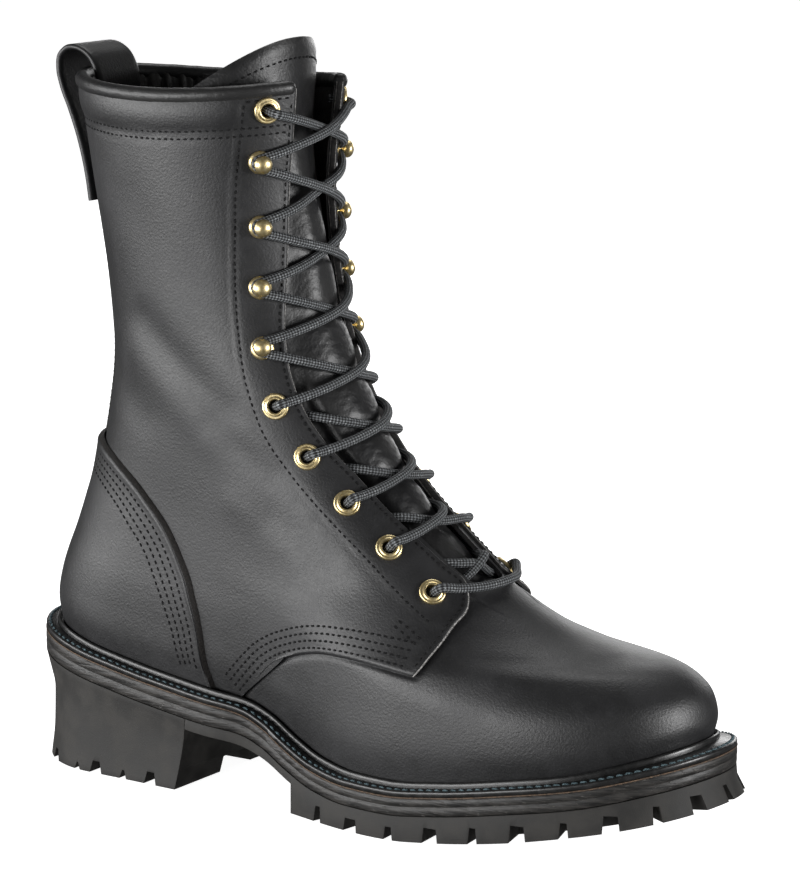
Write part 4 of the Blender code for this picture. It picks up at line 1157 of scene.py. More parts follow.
def creases(points):
    """Depth of the creases at points on the boot's sides."""
    spot = points[..., [0, 2]]
    depth = np.zeros(points.shape[:-1])
    for x0, z0, x1, z1, width, deep in CREASES:
        start, reach = np.array([x0, z0]), np.array([x1 - x0, z1 - z0])
        t = np.clip(((spot - start) @ reach) / (reach @ reach), 0, 1)
        off = np.linalg.norm(spot - start - t[..., None] * reach, axis=-1)
        depth = depth + deep * bell(off, 0, width)
    return depth


def eyestay_line(side, height):
    """Distance of the eyestay's outer stitch line from the front centre."""
    outer = smooth_curve(EYESTAY_LINE, height)
    return np.where(np.asarray(side) < 0, outer, outer + smooth_curve(INNER_SHIFT, height))


def quarter_lift(u, v):
    """How far the outer face of a quarter stands off the last."""
    points = LAST.at(u, v)
    distance = np.abs(u) * LAST.half_run(u, v)
    under_rim = LAST.at(u, COLLAR)[..., 2] - points[..., 2]
    line = eyestay_line(u, points[..., 2])
    facing_strip = EYESTAY_STEP * (1 - soft_step(distance - line, 1.2, 2.6))
    band = np.sin(math.pi * np.clip(under_rim / COLLAR_BAND, 0, 1)) * soft_step(distance - line, 0, 4)
    pulled_in = EYESTAY_PULL * bell(distance, line, STITCH_PULL_WIDTH)
    for inset in COLLAR_ROWS:
        pulled_in = pulled_in + COLLAR_PULL * bell(under_rim, inset, STITCH_PULL_WIDTH)
    return QUARTER_STEP + facing_strip + band - pulled_in - creases(points)


def even(spots, count):
    """A smooth line through (u, v) spots, evenly spaced as it lies on the last."""
    spots = np.asarray(spots, float)
    fine = spline(spots, 40 * len(spots), run_of(LAST.at(*spots.T)))
    run = run_of(LAST.at(*fine.T))
    return along(fine, run, np.linspace(0, run[-1], count))


def quarter_front(side):
    """Front edge of a quarter from its tip round the corner and up the throat to the collar."""
    spots = [LAST.side_spot(side, x, z) for x, z in QUARTER_FRONT]
    low = float(edge_at(side, CORNER_TOP))
    spots += [LAST.front_spot(side * (low + past), height) for height, past in QUARTER_CORNER]
    spots += [LAST.front_spot(side * float(edge_at(side, height)), height) for height in THROAT_LINE]
    spots.append((float(LAST.front_place(side * COLLAR_EDGES[side], COLLAR)), COLLAR))
    return even(spots, 400)


def quarter_lower(side):
    """Lower edge of a quarter from its tip back to the feather line."""
    spots = [LAST.side_spot(side, x, z) for x, z in QUARTER_LOWER]
    u = side * np.linspace(0.3, 0.95, 900)
    end = float(np.interp(-QUARTER_LOW_END_X, -LAST.at(u, 0.0)[:, 0], np.abs(u)))
    return even(spots + [(side * end, 0.0)], 300)


EDGE_STEPS = (0.0, 0.0022, 0.0048, 0.0085)


def close_at_ends(count, last_steps):
    """Shares from 0 to 1 that lie close together at the start and, if asked, at the end."""
    middle = np.linspace(0.013, 0.987 if last_steps else 1.0, count)
    end = [1 - step for step in reversed(EDGE_STEPS)] if last_steps else []
    return np.concatenate([EDGE_STEPS, middle, end])


def quarter_grid(side):
    """(u, v) spots of a quarter: rows from its lower edge to the collar, columns from front to back."""
    front, lower = quarter_front(side), quarter_lower(side)
    feather = np.stack([np.linspace(lower[-1, 0], side, 300), np.zeros(300)], axis=1)
    bottom = np.concatenate([lower, feather[1:]])
    bottom_run = run_of(LAST.at(*bottom.T))
    q, t = close_at_ends(125, False), close_at_ends(150, True)
    bottom = along(bottom, bottom_run / bottom_run[-1], q)
    front = along(front, np.linspace(0, 1, len(front)), t)
    top = np.stack([np.interp(q, (0, 1), (front[-1, 0], side)), np.full(len(q), COLLAR)], axis=1)
    back_levels = np.linspace(0, COLLAR, 300)
    back_run = run_of(LAST.at(side, back_levels))
    back_level = np.interp(t, back_run / back_run[-1], back_levels)
    back = np.stack([np.full(len(t), float(side)), back_level], axis=1)
    q, t = q[None, :, None], t[:, None, None]
    corners = ((1 - q) * (1 - t) * bottom[0] + q * (1 - t) * bottom[-1]
               + (1 - q) * t * top[0] + q * t * top[-1])
    return (1 - t) * bottom[None] + t * top[None] + (1 - q) * front[:, None] + q * back[:, None] - corners


def edge_distances(points):
    """Distance of each point of a grid from its first column and from its first row."""
    by_column = np.linalg.norm(np.diff(points, axis=1), axis=2)
    by_row = np.linalg.norm(np.diff(points, axis=0), axis=2)
    front = np.concatenate([np.zeros((len(points), 1)), np.cumsum(by_column, axis=1)], axis=1)
    low = np.concatenate([np.zeros((1, points.shape[1])), np.cumsum(by_row, axis=0)], axis=0)
    return front, low


def make_quarter(side, name):
    """One quarter with its worked edge, a pale painted highlight along the throat and front edge, and its
    eyelet holes.
    """
    u, v = np.moveaxis(quarter_grid(side), -1, 0)
    base = LAST.at(u, v)
    front, low = edge_distances(base)
    waist = 1 - soft_step(base[..., 0], QUARTER_LOW_END_X, QUARTER_LOW_END_X + WAIST_FADE)
    edge = np.minimum(front, low + WAIST_CLEAR * waist)
    lift = quarter_lift(u, v) - EDGE_DROP * (1 - soft_step(edge, 0, 1.0))
    lift = lift + EDGE_RIDGE * bell(edge, EDGE_RIDGE_IN, EDGE_RIDGE_WIDTH)
    on_vamp = 1 - soft_step(np.where(base[..., 2] < VAMP_TOP, edge, FAR_OFF), *ON_VAMP_REACH)
    corner = EDGE_PALE * (1 - soft_step(front, 0, EDGE_PALE))
    inner = QUARTER_INSIDE + (ON_VAMP - QUARTER_INSIDE) * on_vamp + corner * (1 - on_vamp)
    rows, columns = u.shape[0] - 1, u.shape[1] - 1
    # The faces of the first column, along the throat and front edge, take the pale finish: a painted
    # highlight on the edge's rounded corner
    first_column = columns * np.arange(rows)
    pale = np.concatenate([first_column, rows * columns + first_column])
    grids = LAST.at(u, v, lift), LAST.at(u, v, inner)
    piece = add_sheet(name, *grids, [SMOOTH, DARK_EDGE, RAW_EDGE_AND_PAINTED_HIGHLIGHT], "leather", "upper", pale)
    verts, faces = turned(EYELET_HOLE, 20)
    spots = [hardware_spot(row, side) for row in EYELETS]
    cut(piece, [(facing(verts, LAST.at(*spot), LAST.normal(*spot)), faces) for spot in spots])


def beside(line, inset):
    """A line in two axes moved sideways, to the left of its direction."""
    ahead = np.gradient(line, axis=0)
    left = np.stack([-ahead[:, 1], ahead[:, 0]], axis=1)
    return line + inset * unit(left)


def edge_row(line, inset):
    """A row of stitches beside an edge through (u, v) spots, to its left if the inset is positive."""
    u, v = line.T
    points = LAST.at(u, v, quarter_lift(u, v))
    up = LAST.normal(u, v)
    left = unit(np.cross(up, np.gradient(points, axis=0)))
    return stitches(points + inset * left, up)


BAR_TACK = ((184.8, 82.8), (190.8, 79.5), (196.6, 76.0))
BAR_TACK_STEP = (-1.1, -1.9)
LOWER_ROWS = (2.4, 5.2, 8.0, 10.8)
LOWER_ROWS_END = (111.5, 41.5)
LOWER_ROWS_FRONT = 197.0
LOWER_ROWS_SLANT = 0.1
ABOVE_WELT = 2.0
FRONT_ROW = 2.3
EYESTAY_TOP = 279.0
COLLAR_ROW_START = 2.6
COLLAR_ROW_END = 128.0
COLLAR_EDGE_ROW_END = 38.0


def quarter_seams(side):
    """Rows of stitches of one quarter."""
    heights = [height for height, _ in EYESTAY_LINE[:-1]] + [EYESTAY_TOP]
    rows = [seam([LAST.front_spot(side * float(eyestay_line(side, h)), h) for h in heights], quarter_lift)]
    rows.append(edge_row(quarter_front(side)[4:-6:3], -FRONT_ROW * side))
    for inset in COLLAR_ROWS + (COLLAR_EDGE_ROW,):
        spots = []
        first = COLLAR_EDGES[side] + COLLAR_ROW_START
        last = COLLAR_EDGE_ROW_END if inset < COLLAR_BAND else COLLAR_ROW_END
        for distance in np.linspace(first, last, 14):
            u = float(LAST.front_place(side * distance, COLLAR - 0.3))
            height = float(LAST.at(u, COLLAR)[2]) - inset
            spots.append(LAST.front_spot(side * distance, height))
        rows.append(seam(spots, quarter_lift))
    fine = spline(np.array(QUARTER_LOWER + (LOWER_ROWS_END,))[::-1], 60)
    for inset in LOWER_ROWS:
        moved = beside(fine, inset)
        clear = moved[:, 1] > feather_height(moved[:, 0]) + ABOVE_WELT
        moved = moved[clear & (moved[:, 0] < LOWER_ROWS_FRONT - LOWER_ROWS_SLANT * inset)]
        rows.append(seam([LAST.side_spot(side, x, z) for x, z in moved[::4]], quarter_lift))
    for step in (0, 1):
        tack = np.array(BAR_TACK) + step * np.array(BAR_TACK_STEP)
        rows.append(seam([LAST.side_spot(side, x, z) for x, z in tack], quarter_lift))
    return rows


# Vamp and lining

# Groove that the edge of the quarters presses into the vamp: depth, levels below the vamp's top, width
VAMP_PRESS = 0.7
VAMP_PRESS_BELOW = 0.75
VAMP_PRESS_WIDTH = 0.11
VAMP_END = 0.70
VAMP_UNDER_THROAT = 0.3
VAMP_UNDER_QUARTER = 0.45


def make_vamp():
    """The vamp: from the feather line up to the throat and under both quarters."""
    columns = 260
    u = np.linspace(-VAMP_END, VAMP_END, columns)
    tops = np.zeros(columns)
    floor_level = LAST.level_at(0.0, THROAT_FLOOR, LAST.front_place)
    covered = np.zeros(columns)
    for side in (-1, 1):
        front = quarter_front(side)
        front = front[LAST.at(*front.T)[:, 2] < CORNER_TOP]
        edge = np.concatenate([front[::-1], quarter_lower(side)])
        order = np.argsort(np.abs(edge[:, 0]))
        half = u * side >= 0
        tops[half] = np.interp(np.abs(u[half]), np.abs(edge[order, 0]), edge[order, 1])
        distance = np.abs(u[half]) * LAST.half_run(u[half], floor_level)
        start = float(edge_at(side, CORNER_TOP))
        covered[half] = soft_step(distance, start - 2, start + 6)
    tops = floor_level + VAMP_UNDER_THROAT + (tops + VAMP_UNDER_QUARTER - floor_level) * covered
    level = np.linspace(0, 1, 110)[:, None] * tops
    pressed = VAMP_PRESS * covered * bell(level, tops - VAMP_PRESS_BELOW, VAMP_PRESS_WIDTH)
    grids = LAST.at(u, level, -pressed), LAST.at(u, level, -WALL)
    add_sheet("vamp", *grids, [SMOOTH, DARK_EDGE], "leather", "upper")


# Lining: how far behind the throat's edge it starts, half its length, where the tongue lies on it from the
# front centre, lifts of its two faces, and its folds, which lie at a depth below the collar
LINING_BACK = 1.2
LINING_RUN = 130.0
LINING_TONGUE = (62, 84)
LINING_FACES = (-1.7, -2.3)
LINING_PUFF = 1.6
FOLDS_BELOW = 9.0
FOLD_LIMIT = 1.4


def make_lining():
    """The lining inside the quarters, gathered into soft folds under the collar, its finish painted lighter
    as painted light.
    """
    columns, rows = 360, 100
    share = np.linspace(-1, 1, columns)
    level = np.linspace(0.6, COLLAR, rows)[:, None]
    height = LAST.at(0.0, level)[..., 2]
    outer_start = LAST.front_place(-LINING_BACK - edge_at(-1, height), level)
    inner_start = LAST.front_place(LINING_BACK + edge_at(1, height), level)
    u = np.where(share < 0, outer_start - (1 + outer_start) * (1 + share), 1 + (inner_start - 1) * share)
    run = (share * LINING_RUN)[None, :]
    depth = LAST.at(u, COLLAR)[..., 2] - LAST.at(u, level)[..., 2]
    beyond_tongue = soft_step(np.abs(u) * LAST.half_run(u, level), *LINING_TONGUE)
    folds = np.sin(run * 0.85 + 1.3 * np.sin(run * 0.21) + depth * 0.06) + 0.6 * np.sin(run * 1.9 + 0.8)
    gathered = folds * bell(depth, FOLDS_BELOW, 8.0) * beyond_tongue
    puff = LINING_PUFF * bell(depth, FOLDS_BELOW, 9.0) * beyond_tongue
    outer = LAST.at(u, level, LINING_FACES[0])
    inner = LAST.at(u, level, LINING_FACES[1] - puff - np.maximum(gathered, -FOLD_LIMIT))
    add_sheet("lining", outer, inner, [LINING_PAINTED_LIGHTER], "soft_leather", "upper")


# Counter and back

# Top edge of the counter: distance from the back centre, height
COUNTER_TOP = (
    (0.0, 136.0), (16.0, 134.5), (29.0, 131.5), (48.0, 123.0), (60.0, 114.5), (72.0, 104.5), (82.0, 94.0),
    (93.0, 81.0), (101.0, 68.0), (105.0, 56.0), (106.5, 47.0),
)
COUNTER_LIFT = QUARTER_STEP + OVERLAY + OVERLAY_SEAT
COUNTER_BEVEL = 1.0
COUNTER_FLARE = 1.2
COUNTER_FLARE_WIDTH = 22.0
COUNTER_FLARE_RISE = (112, 136)
COUNTER_ROWS = (3.4, 6.1, 8.8, 11.5)
COUNTER_ROWS_LOW = 50.0
COUNTER_EDGE_DROP = 0.3
COUNTER_RIDGE = 0.2
COUNTER_RIDGE_IN = 1.4


def counter_spots(bevel, share):
    """Girth places and levels of the counter from the feather line to its top edge, widened by a bevel."""
    reach = COUNTER_TOP[-1][0]
    distances = reach * np.sin(np.linspace(-1, 1, 181) * math.pi / 2)
    tops = []
    for distance in distances:
        height = float(smooth_curve(COUNTER_TOP, abs(distance))) + bevel
        tops.append(LAST.level_at(distance, height, LAST.back_place))
    level = share[:, None] * np.array(tops)
    across = distances * (1 + bevel / reach)
    return across, LAST.back_place(across, level), level


def make_counter():
    """The heel counter with its thick bevelled edge, standing off the shaft a little at the back."""
    share = np.concatenate([np.linspace(0, 0.97, 70), [0.98, 0.987, 0.993, 0.997, 1.0]])
    across, u, v = counter_spots(0.0, share)
    _, low_u, low_v = counter_spots(COUNTER_BEVEL, share)
    height = LAST.at(u, v)[..., 2]
    inset = np.minimum(height[-1:] - height, COUNTER_TOP[-1][0] - np.abs(across))
    lift = COUNTER_LIFT - COUNTER_EDGE_DROP * (1 - soft_step(inset, 0, 0.9))
    lift = lift + COUNTER_RIDGE * bell(inset, COUNTER_RIDGE_IN, 1.0)
    flare = COUNTER_FLARE * bell(across, 0, COUNTER_FLARE_WIDTH) * soft_step(height, *COUNTER_FLARE_RISE)
    grids = LAST.at(u, v, lift + flare), LAST.at(low_u, low_v, QUARTER_STEP + 0.1 + flare)
    add_sheet("heel_counter", *grids, [SMOOTH, COUNTER_EDGE], "leather", "counter")


def counter_seams():
    """Four rows of stitches inside the counter's edge."""
    top = np.array([(-d, h) for d, h in reversed(COUNTER_TOP)] + list(COUNTER_TOP[1:]))
    fine = spline(top, 160)
    rows = []
    for inset in COUNTER_ROWS:
        moved = beside(fine, -inset)
        moved = moved[moved[:, 1] > COUNTER_ROWS_LOW]
        u, v = np.array([LAST.back_spot(distance, height) for distance, height in moved]).T
        rows.append(stitches(LAST.at(u, v, COUNTER_LIFT), LAST.normal(u, v)))
    return rows


STAY_HALF = 10.0
STAY_LOW = 140.0
STAY_HIGH = 226.0
STAY_UNDER_COUNTER = 6.0
STAY_UNDER_LOOP = 8.0
STAY_LIFT = QUARTER_STEP + 1.5
STAY_ROW = 2.4


def make_back_stay():
    """The strip that covers the back seam between the counter and the pull loop."""
    distances = np.linspace(-STAY_HALF, STAY_HALF, 31)
    low = LAST.level_at(0.0, STAY_LOW - STAY_UNDER_COUNTER, LAST.back_place)
    high = LAST.level_at(0.0, STAY_HIGH + STAY_UNDER_LOOP, LAST.back_place)
    v = np.linspace(low, high, 90)[:, None]
    u = LAST.back_place(distances, v)
    lift = STAY_LIFT - 0.5 * (1 - soft_step(STAY_HALF - np.abs(distances), 0, 1.2))
    grids = LAST.at(u, v, lift), LAST.at(u, v, QUARTER_STEP - 0.2)
    add_sheet("back_strip", *grids, [SMOOTH, DARK_EDGE], "leather", "back_stay")
    rows = []
    for distance in (-STAY_HALF + STAY_ROW, STAY_HALF - STAY_ROW):
        spots = [LAST.back_spot(distance, height) for height in np.linspace(STAY_LOW, STAY_HIGH, 8)]
        rows.append(seam(spots, lambda u, v: STAY_LIFT))
    return rows


LOOP_HALF = 14.5
LOOP_THICK = 2.2
LOOP_ROW = 2.6
LOOP_ROW_POINTS = 70

# Middle of the pull loop's strap in side view, from its lower end outside to its end inside
LOOP_PATH = (
    (22.3, 232.0), (21.0, 240.0), (19.0, 249.0), (15.8, 259.5), (11.8, 269.5), (8.0, 278.0), (6.2, 285.0),
    (6.8, 290.5), (10.5, 293.8), (15.5, 294.0), (21.2, 291.2), (25.4, 284.5), (26.8, 272.0),
)


def make_pull_loop():
    """A wide strap from the back seam up over the collar and down inside it."""
    path = spline(LOOP_PATH, 120)
    tangents = np.gradient(path, axis=0)
    normals = unit(np.stack([-tangents[:, 1], tangents[:, 0]], axis=1))
    half, thick = LOOP_HALF, LOOP_THICK / 2
    across = np.linspace(-half + 1.0, half - 1.0, 13)
    section_line = [(y, 1.0) for y in across] + [(half - 0.3, 0.75), (half, 0.0), (half - 0.3, -0.75)]
    section_line += [(-y, -out) for y, out in section_line]
    rings = []
    for (x, z), (nx, nz) in zip(path, normals):
        rings.append([(x + nx * thick * out, y, z + nz * thick * out) for y, out in section_line])
    add_piece("pull_strap", *rod(rings), [SMOOTH], "leather", ["pull_loop"])
    rows = []
    for y in (-half + LOOP_ROW, half - LOOP_ROW):
        line = np.array([(x + nx * thick, y, z + nz * thick) for (x, z), (nx, nz) in zip(path, normals)])
        up = np.stack([normals[:, 0], 0 * path[:, 0], normals[:, 1]], axis=1)
        rows.append(stitches(line[:LOOP_ROW_POINTS], up[:LOOP_ROW_POINTS]))
    return rows


# Collar

# Section of the binding: distance out from the last, rise above the collar edge
BINDING_SECTION = (
    (-2.6, -2.6), (-0.3, -0.4), (1.7, -2.2), (2.35, -1.2), (2.65, 0.2), (2.45, 1.6), (1.7, 2.7), (0.5, 3.3),
    (-0.9, 3.3), (-2.2, 2.7), (-3.0, 1.5), (-3.3, 0.0), (-3.2, -1.4),
)
BINDING_START = 0.6


def make_binding():
    """The rolled binding on the collar edge, from throat to throat round the back."""
    first, last = (LAST.front_place(s * (COLLAR_EDGES[s] + BINDING_START), COLLAR) for s in (-1, 1))
    places = np.concatenate([np.linspace(first, -1, 170), np.linspace(1, last, 170)[1:]])
    run = run_of(LAST.at(places, COLLAR))
    pucker = 0.05 * np.sin(run * 0.55 + 1.5 * np.sin(run * 0.17)) + 0.02 * np.sin(run * 1.3)
    end = np.minimum(run, run[-1] - run)
    size = 0.55 + 0.45 * np.sqrt(np.clip(end / 2.6, 0, 1))
    swell = 1 + pucker / 4
    lines = []
    for out, rise in spline(BINDING_SECTION + BINDING_SECTION[:1], 29)[:-1]:
        line = LAST.at(places, COLLAR, out * size * swell)
        line[:, 2] += rise * size * swell
        lines.append(line)
    rings = np.array(lines).transpose(1, 0, 2)
    add_piece("collar_roll", *rod(rings), [SOFT], "soft_leather", ["collar_binding"])


# Tongue, one row a level at its sides: half its width there, rise of its middle
TONGUE_ROWS = (
    (5.3, 22.0, 0.0), (5.8, 27.0, 0.0), (6.3, 31.0, 0.0), (7.0, 36.0, 0.0), (7.8, 42.0, 0.0),
    (8.6, 46.0, 0.0), (9.4, 50.0, 0.0), (10.1, 57.0, 0.02), (10.6, 64.0, 0.18), (10.95, 69.0, 0.50),
)
TONGUE_ARCH = 2.4
TONGUE_THICK = 3.0
TONGUE_SWELL = 4.0
TONGUE_HEM = 0.2
TONGUE_HEM_END = 0.86
TONGUE_EDGE = 0.9
TONGUE_SEAT = -WALL - 1.2

# How the tongue goes down under the edges of the throat and between the rows of the lace
TONGUE_TUCK = 3.4
TONGUE_PRESS = 2.3

# Rows of the lacing from the lowest: height, distance on the outer and the inner side, whether they are hooks
LACE_ROWS = sorted([(*row, False) for row in EYELETS] + [(*row, True) for row in HOOKS])


def tongue_lift(distance, level, share):
    """How far the outer face of the tongue stands off the last; share is how far to its side a place is."""
    height = LAST.at(LAST.front_place(distance, level), level)[..., 2]
    off = np.abs(distance)
    edge = throat_half(height)
    middle = 1 - soft_step((off - 0.2 * edge) / (0.8 * edge - 1), 0, 1)
    recess = soft_step(level, 9.4, 10.9)
    seat = TONGUE_SEAT - recess * (1.6 + 6.4 * (1 - share ** 2))
    instep = soft_step(level, 5.4, 5.9) * (1 - soft_step(level, 8.0, 8.5))
    tucked = TONGUE_TUCK * soft_step(off - edge, -7.0, -0.5) * instep
    swell = TONGUE_SWELL * middle * soft_step(level, 6.3, 7.2) * (1 - recess)
    crossings = [(low[0] + high[0]) / 2 for low, high in zip(LACE_ROWS, LACE_ROWS[1:])]
    pressed = TONGUE_PRESS * sum(bell(height, crossing, 2.4 + 0.22 * off) for crossing in crossings)
    wavy = np.sin(height * 1.9 + 2.2 * np.sin(distance * 0.33 + 0.6))
    wrinkle = wavy * np.sin(distance * 0.61 + height * 0.37)
    ripple = 0.11 * wrinkle * (0.4 + 0.6 * middle)
    return seat - tucked + swell - pressed * middle * (1 - recess) + ripple


def make_tongue():
    side_levels = np.linspace(TONGUE_ROWS[0][0], TONGUE_ROWS[-1][0], 260)[:, None]
    halves = smooth_curve([(level, half) for level, half, _ in TONGUE_ROWS], side_levels)
    rises = smooth_curve([(level, rise) for level, _, rise in TONGUE_ROWS], side_levels)
    share = np.concatenate([[-1, -0.992, -0.975], np.linspace(-0.95, 0.95, 90), [0.975, 0.992, 1]])[None, :]
    distance = halves * share
    level = side_levels + rises * (1 - np.abs(share) ** TONGUE_ARCH)
    u = LAST.front_place(distance, level)
    edge = np.minimum((1 - np.abs(share)) * halves, (level[-1:] - level) * RISE_ABOVE_COLLAR)
    thin = 1 - soft_step(edge, 0, 3.0)
    lift = tongue_lift(distance, level, share)
    outer = LAST.at(u, level, lift - TONGUE_EDGE * thin)
    inner = LAST.at(u, level, np.minimum(lift, -WALL) - TONGUE_THICK + TONGUE_EDGE * thin)
    piece = add_sheet("tongue_pad", outer, inner, [SOFT, RAW_EDGE_AND_PAINTED_HIGHLIGHT], "soft_leather", "tongue")
    share = np.linspace(-TONGUE_HEM_END, TONGUE_HEM_END, 90)
    top_level, top_half, top_rise = TONGUE_ROWS[-1]
    distance = share * top_half
    level = top_level - TONGUE_HEM + top_rise * (1 - np.abs(share) ** TONGUE_ARCH)
    u = LAST.front_place(distance, level)
    return [stitches(LAST.at(u, level, tongue_lift(distance, level, share)), LAST.normal(u, level))]


# Brass

# Sections of an eyelet and of a hook's washer and neck: radius, height above the leather
EYELET_SECTION = (
    (2.6, -3.9), (3.1, -3.9), (3.1, -0.6), (5.15, -0.6), (5.3, -0.2), (5.25, 0.3), (5.0, 0.68), (4.6, 0.8),
    (4.25, 0.68), (4.0, 0.74), (3.7, 1.02), (3.35, 1.16), (3.0, 1.08), (2.75, 0.82), (2.62, 0.4),
)
HOOK_BASE = (
    (0, -0.7), (4.5, -0.7), (4.65, -0.2), (4.4, 0.45), (3.6, 0.8), (2.0, 1.0), (1.0, 1.4), (0.9, 2.8),
)
HOOK_BALL_MIDDLE = 5.4
HOOK_BALL = (3.6, 2.6)
TURNED_SIDES = 32


def make_hardware():
    """Turned brass: eyelets with a rolled rim, and ball hooks on a washer."""
    angles = np.linspace(-0.34 * math.pi, 0.5 * math.pi, 14)
    wide, tall = HOOK_BALL
    ball = [(wide * math.cos(a), HOOK_BALL_MIDDLE + tall * math.sin(a)) for a in angles[:-1]]
    hook_section = HOOK_BASE + tuple(ball) + ((0, HOOK_BALL_MIDDLE + tall),)
    for kind, profile, rows in (("eyelet", EYELET_SECTION, EYELETS), ("hook", hook_section, HOOKS)):
        verts, faces = turned(profile, TURNED_SIDES)
        for side, word in ((-1, "outer"), (1, "inner")):
            for k, row in enumerate(rows):
                spot = hardware_spot(row, side)
                placed = facing(verts, LAST.at(*spot, HARDWARE_SEAT), LAST.normal(*spot))
                node = f"{kind}_{word}_{k + 1}"
                add_piece(f"brass_{node}", placed, faces, [BRASS], "brass", [node])


# Lace

HOOK_TURN = 1.9
ON_HOOK = HARDWARE_SEAT + 0.3 + LACE_RADIUS
ON_RIM = HARDWARE_SEAT + 1.1 + LACE_RADIUS
ON_LEATHER = QUARTER_STEP + EYESTAY_STEP + LACE_RADIUS
UNDER_LEATHER = -1.9 - LACE_RADIUS
FREE_SPAN = -0.2
CROSSING_RISE = 1.9 * LACE_RADIUS
LACE_SIDES = 16
LACE_STEP = 0.6
BRAID_STRANDS = 5
BRAID_PITCH = 2.5

# Crossings, counted from the lowest, where the run that starts on the outer side goes below the other
OUTER_RUN_BELOW = (7, 8)

# Ways of the lace from an edge of the throat to a hole or hook, each place with its lift: places at the edge
# are shares of the way to the hole, places at the hole are distances past it
OVER_EDGE = ((0.04, ON_LEATHER - 0.3), (0.45, ON_LEATHER + 0.3))
OVER_RIM = ((-2.9, ON_RIM), (-1.4, 2.8), (-0.7, -0.8))
UNDER_EDGE = ((-0.4, -0.9), (0.08, UNDER_LEATHER), (0.5, UNDER_LEATHER - 0.4))
BEHIND_HOLE = ((-1.8, UNDER_LEATHER - 0.2), (0.0, -0.8))


def way_out(row, side, over):
    """(distance, lift) places from the edge of the throat out to a row's hole or hook."""
    place, height = place_of(LACE_ROWS[row], side)
    edge = float(edge_at(side, height))
    room = place - edge
    places = [(edge + share * room, lift) for share, lift in (OVER_EDGE if over else UNDER_EDGE)]
    if not LACE_ROWS[row][3]:
        places += [(place + back, lift) for back, lift in (OVER_RIM if over else BEHIND_HOLE)]
    return places


def lace_run(row, side, next_row, over_start, over_end, middle):
    """Spots of the lace from one side of a row to the other side of the next: distance, height, lift."""
    start, low = place_of(LACE_ROWS[row], side)
    end, high = place_of(LACE_ROWS[next_row], -side)
    low = low + HOOK_TURN * LACE_ROWS[row][3]
    high = high - HOOK_TURN * LACE_ROWS[next_row][3]
    places = [(side * distance, lift) for distance, lift in reversed(way_out(row, side, over_start))]
    places.append((0.0, middle))
    places += [(-side * distance, lift) for distance, lift in way_out(next_row, -side, over_end)]
    reach = start + end
    return [(place, low + (high - low) * (start - side * place) / reach, lift) for place, lift in places]


def hook_turn(row, side):
    """Spots of the lace round the neck of a hook, from below to above."""
    place, height = place_of(LACE_ROWS[row], side)
    spots = []
    for angle in np.linspace(-0.5, 0.5, 5) * math.pi:
        out, up = HOOK_TURN * math.cos(angle), HOOK_TURN * math.sin(angle)
        spots.append((side * (place + out), height + up, ON_HOOK))
    return spots


def crossing_lift(row, on_top):
    """Lift of a run where it crosses the other one above a row, on the tongue or spanning the throat."""
    height = (LACE_ROWS[row][0] + LACE_ROWS[row + 1][0]) / 2
    level = LAST.front_spot(0.0, height)[1]
    rest = max(float(tongue_lift(0.0, level, 0.0)) + LACE_RADIUS, FREE_SPAN)
    return rest + (CROSSING_RISE if on_top else 0.0)


def lace_half(side):
    """One half of the lace, from the middle of the lowest bar to behind a top eyelet."""
    height = LACE_ROWS[0][0]
    spots = [(0.0, height, ON_LEATHER + 0.2)]
    spots += [(side * distance, height, lift) for distance, lift in way_out(0, side, True)]
    last = len(LACE_ROWS) - 1
    for row in range(last):
        on_top = (side < 0) == (row + 1 not in OUTER_RUN_BELOW)
        over_end = LACE_ROWS[row + 1][3] or row + 1 == last
        run = lace_run(row, side, row + 1, row > 0, over_end, crossing_lift(row, on_top))
        spots += run[1:] if spots[-1][2] == run[0][2] else run
        side = -side
        if LACE_ROWS[row + 1][3]:
            spots += hook_turn(row + 1, side)
    place, height = place_of(LACE_ROWS[last], side)
    return spots + [(side * place, height - 0.3, UNDER_LEATHER)]


def lace_line():
    """The whole lace from behind one top eyelet to behind the other."""
    spots = lace_half(-1)[::-1] + lace_half(1)[1:]
    points = [LAST.at(*LAST.front_spot(distance, height), lift) for distance, height, lift in spots]
    fine = spline(points, 9000)
    run = run_of(fine)
    return along(fine, run, np.linspace(0, run[-1], int(run[-1] / LACE_STEP)))


def carried_frames(line):
    """Two directions across a line at each of its points, turning as little as they can."""
    tangents = unit(np.gradient(line, axis=0))
    across = np.zeros_like(line)
    first = np.cross(tangents[0], (0, 0, 1.0))
    across[0] = first / np.linalg.norm(first)
    for i in range(1, len(line)):
        moved = across[i - 1] - tangents[i] * (across[i - 1] @ tangents[i])
        across[i] = moved / np.linalg.norm(moved)
    return across, np.cross(tangents, across)


def make_lace():
    """One round braided lace through all the eyelets and round all the hooks."""
    line = lace_line()
    across, over = carried_frames(line)
    shares = np.arange(LACE_SIDES) / LACE_SIDES
    turn = 2 * math.pi * shares
    ring = np.cos(turn)[None, :, None] * across[:, None] + np.sin(turn)[None, :, None] * over[:, None]
    verts, faces = rod(line[:, None] + LACE_RADIUS * ring)
    nodes = ["lace_bar"] + [f"lace_cross_{k}" for k in range(1, len(LACE_ROWS))]
    piece = add_piece("lace_cord", verts, faces, [LACE], "lace", nodes)
    lengthwise = np.repeat(run_of(line) / BRAID_PITCH, LACE_SIDES)
    mark_braid(piece.data, lengthwise, np.tile(BRAID_STRANDS * shares, len(line)))


def mark_braid(mesh, lengthwise, around):
    """Writes each corner's place along and around the lace to a UV layer; it closes round the lace."""
    layer = mesh.uv_layers.new(name="braid")
    corners = np.zeros(len(mesh.loops), int)
    mesh.loops.foreach_get("vertex_index", corners)
    turns = around[corners]
    for face in mesh.polygons:
        loops = list(face.loop_indices)
        if len(loops) == 4 and np.ptp(turns[loops]) > BRAID_STRANDS / 2:
            turns[loops] = np.where(turns[loops] == 0, BRAID_STRANDS, turns[loops])
    layer.data.foreach_set("uv", np.stack([lengthwise[corners], turns], axis=1).ravel())


# Studio

